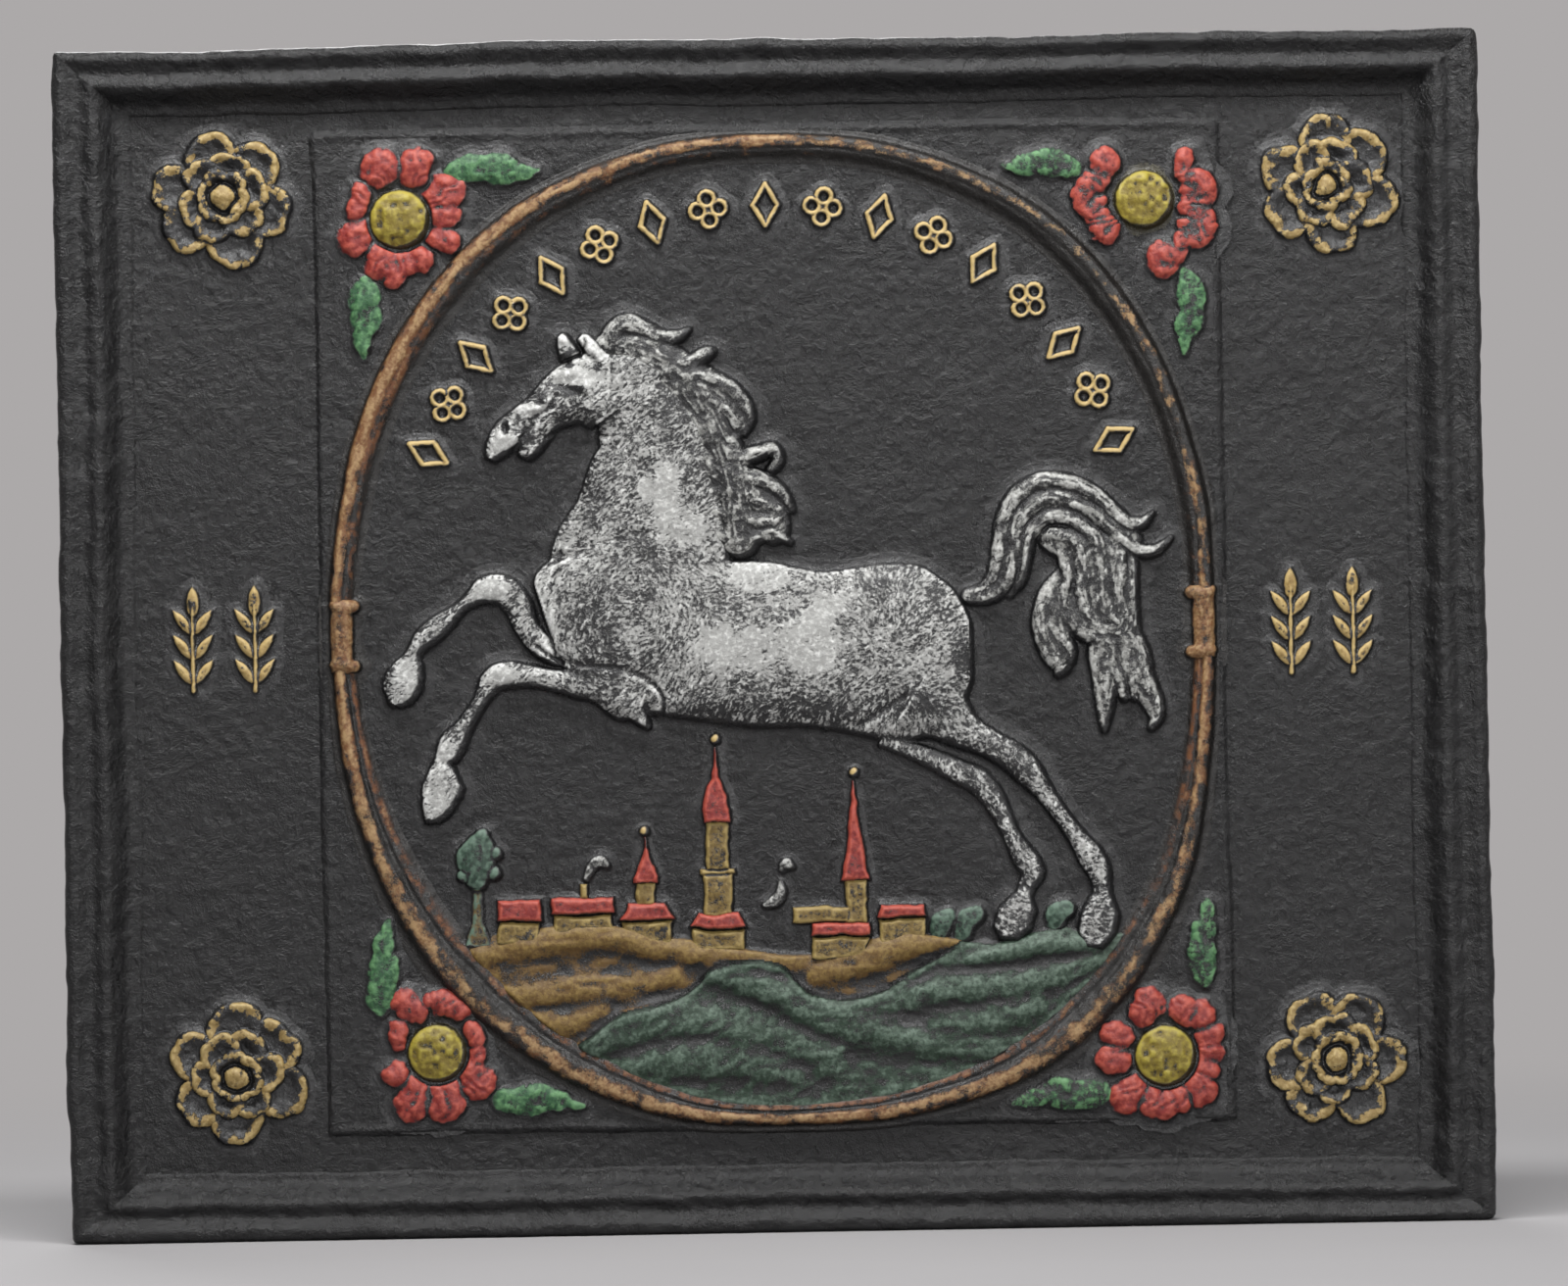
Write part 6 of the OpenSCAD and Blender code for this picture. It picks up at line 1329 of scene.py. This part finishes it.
# How far apart the lobes stand: along the stations and along the carved leaf
LOBE_STEPS, LOBE_PITCH = 8.4, 9.5
LEAVES = {
    "top_left_upper":
        [[-132, 448.6, 2.4, 0.6], [-128.5, 449.3, 4.6, 0.9], [-121, 449.8, 5.6, 1], [-113.5, 449.4, 6.3, 1],
         [-106, 448, 4.7, 0.95], [-100, 447.6, 2.4, 0.8], [-95, 448.4, 0.7, 0.5]],
    "top_left_lower":
        [[-168.8, 402, 3.2, 0.7], [-169.3, 397, 6, 0.95], [-169, 391.5, 5.4, 1], [-168.6, 386, 6, 1],
         [-170, 380, 4, 0.9], [-170.2, 374.5, 2.4, 0.75], [-170, 370.4, 0.7, 0.5]],
    "top_right_upper":
        [[131.5, 443.8, 1.8, 0.6], [127.5, 445.8, 4.4, 0.85], [121, 447.6, 5.6, 1], [115, 448, 5.4, 1],
         [108.5, 446.8, 4, 0.9], [103.5, 446.4, 1.8, 0.7], [100.5, 447.4, 0.7, 0.4]],
    "top_right_lower":
        [[176.3, 401, 1.4, 0.5], [178, 396, 4.4, 0.85], [178.6, 389, 5.8, 1], [178, 382, 5.6, 1],
         [176.5, 375, 3.9, 0.9], [175.6, 370, 1.8, 0.7], [175.2, 366.5, 0.7, 0.4]],
    "bottom_left_upper":
        [[-167.5, 96, 2.4, 0.6], [-168, 101, 5, 0.9], [-166.8, 108, 6.4, 1], [-166, 115.5, 5.6, 1],
         [-166.2, 122, 4.4, 0.9], [-165, 128, 2.6, 0.75], [-164.2, 133, 0.7, 0.4]],
    "bottom_left_lower":
        [[-118.3, 57.5, 3, 0.65], [-114, 57, 5.4, 0.9], [-107, 56.8, 6.4, 1], [-99.5, 57.6, 5.8, 1],
         [-93, 56.4, 3.6, 0.85], [-87, 55, 1.8, 0.7], [-83, 54.3, 0.7, 0.4]],
    "bottom_right_upper":
        [[179, 102, 2.4, 0.6], [179, 107.5, 5.2, 0.9], [178.2, 115, 5.6, 1], [178.5, 122, 4.8, 0.95],
         [180.4, 129, 3.6, 0.9], [180.8, 133.4, 2, 0.7], [180.6, 136.4, 0.7, 0.4]],
    "bottom_right_lower":
        [[137, 55.5, 3, 0.6], [132, 56, 5.8, 0.9], [124, 55.4, 7, 1], [116, 56, 5.8, 1],
         [108.5, 54.5, 3.6, 0.85], [102, 53, 2.2, 0.7], [98.4, 52, 0.7, 0.4]]}
for seed, (place, stations) in enumerate(LEAVES.items()):
    line = np.array(stations)
    carving = room_for(line[:, :2], 14, 0.4)
    lobed = spline(stations, 5)
    bulge = np.cos(np.arange(len(lobed)) * 2 * np.pi / LOBE_STEPS + 2.1 * seed)
    lobed[:, 2] = lobed[:, 2] * (1 + 0.1 * bulge) + LEAF_SPREAD
    carving.stray((0.5, 7), (0.25, 2.8), np.array([156, 164, 172, 180]) + seed)
    carving.rib(lobed, LEAF_RISE, fullness=0.5, steps=1)
    carving.settle()
    x, z, across = carving.x, carving.z, np.abs(carving.across)
    lobe = np.cos(2 * np.pi * carving.along / LOBE_PITCH - 0.16 * np.pi * across + 2.1 * seed)
    hollow = bell(carving.across + 0.8 * swell(x, z, 6, 148 + seed), 1.5)
    lumps = 0.22 * lobe * ease((across - 0.8) / 2.5) - 0.15 * hollow + 0.55 * rough(x, z, 5, 140 + seed)
    carving.height += ease(carving.height / 1.2) * lumps
    # The leaves at the right and the low ones are more worn
    worn = 0.2 * (line[0, 0] > 0) + 0.06 * (line[0, 1] < OVAL_Z)
    carving.set_down(f"leaf_{place}_relief", [f"leaf_{place}"], LEAF_GREEN, "leaf_green_paint", PANEL_RISE,
                     lip_width=2.2, crest_size=1.4, crest=0.5, paint_edge=-0.1, shade=0.6,
                     wear=worn + 0.1 * rough(x, z, 3, 188 + seed))


# The room: a pale grey floor that the plate stands on, a surround of the same grey, a long soft lamp
# above, three soft fills, and a camera far off with a long lens, turned by one degree.
SURROUND = color(172, 169, 169)
FLOOR_LIGHT, FLOOR_DARK = color(160, 158, 159), color(150, 148, 149)
AMBIENT = (0.15, 0.152, 0.158, 1)
FLOOR_HALF = 9.0
FLOOR_CELLS = 6
# From where to where the floor fades into the surround, in metres from the plate
FADE_START, FADE_END = 0.35, 1.3
row = FLOOR_CELLS + 1
grid = np.linspace(-FLOOR_HALF, FLOOR_HALF, row)
corners = [(gx, gy, 0) for gy in grid for gx in grid]
cells = [(i, i + 1, i + row + 1, i + row)
         for j in range(FLOOR_CELLS) for i in range(j * row, j * row + FLOOR_CELLS)]
floor_mesh = bpy.data.meshes.new("studio_floor")
floor_mesh.from_pydata(corners, [], cells)
floor_mesh.update()
floor = bpy.data.objects.new("studio_floor", floor_mesh)
bpy.context.scene.collection.objects.link(floor)
floor_paint, tree = new_material("Pale floor")
surface = tree.nodes["Principled BSDF"]
place = add(tree, "TexCoord").outputs["Object"]
cloud = noise(tree, place, Scale=3.0, Detail=3.0)
tree.links.new(blend(tree, cloud, FLOOR_DARK, FLOOR_LIGHT), surface.inputs["Base Color"])
surface.inputs["Roughness"].default_value = 0.9
# Away from the plate the floor takes the surround's own grey, so that no edge shows behind the plate
away = add(tree, "VectorMath", {0: place}, operation="LENGTH").outputs["Value"]
haze = add(tree, "Emission", {"Color": SURROUND})
fade = between(tree, away, low=FADE_START, high=FADE_END)
faded = add(tree, "MixShader", {0: fade, 1: surface.outputs[0], 2: haze.outputs[0]})
tree.links.new(faded.outputs[0], tree.nodes["Material Output"].inputs["Surface"])
floor_mesh.materials.append(floor_paint)

world = bpy.data.worlds.new("Studio")
bpy.context.scene.world = world
world.use_nodes = True
tree = world.node_tree
rays = add(tree, "LightPath")
seen = sums(tree, "MAXIMUM", rays.outputs["Is Camera Ray"], rays.outputs["Is Glossy Ray"])
seen = sums(tree, "MAXIMUM", seen, rays.outputs["Is Transmission Ray"])
tree.links.new(blend(tree, seen, AMBIENT, SURROUND), tree.nodes["Background"].inputs["Color"])

LAMPS_AIM = (0, 0, 0.25)


def lamp(name, place, width, tall, power):
    """A soft rectangular lamp that looks at the middle of the plate"""
    light = bpy.data.lights.new(name, "AREA")
    light.shape = "RECTANGLE"
    light.size, light.size_y = width, tall
    light.energy = power
    lamp_object = bpy.data.objects.new(name, light)
    bpy.context.scene.collection.objects.link(lamp_object)
    way = np.subtract(place, LAMPS_AIM)
    way /= np.linalg.norm(way)
    right = np.cross((0, 0, 1), way)
    right /= np.linalg.norm(right)
    columns = np.stack([right, np.cross(way, right), way, place], -1)
    lamp_object.matrix_world = Matrix([*columns.tolist(), (0, 0, 0, 1)])


lamp("Key from above", (-0.1, -0.6, 1.5), 1.1, 0.3, 31)
lamp("Window at the right", (1.15, -1.7, 0.65), 0.3, 0.5, 10)
lamp("Front fill", (0.4, -2.4, 0.75), 1.6, 1.0, 16)
lamp("Back fill", (-0.6, 2.2, 1.5), 1.6, 1.2, 26)

VIEW_WIDTH = 0.6599
VIEW_X, VIEW_Z = 0.0045, 0.2477
CAMERA_AWAY = 3.2
# How far before the middle of the plate's depth the view's width is measured
FOCUS_AHEAD = 0.003
ROLL = math.radians(1.01)
camera = bpy.data.cameras.new("Camera")
camera.sensor_width = 36
camera.lens = camera.sensor_width * (CAMERA_AWAY - FOCUS_AHEAD) / VIEW_WIDTH
camera.clip_end = 50
camera_object = bpy.data.objects.new("Camera", camera)
bpy.context.scene.collection.objects.link(camera_object)
c, s = math.cos(ROLL), math.sin(ROLL)
camera_object.matrix_world = Matrix([[c, s, 0, VIEW_X], [0, 0, -1, -CAMERA_AWAY], [-s, c, 0, VIEW_Z],
                                     [0, 0, 0, 1]])
bpy.context.scene.camera = camera_object
bpy.context.scene.view_settings.view_transform = "Standard"
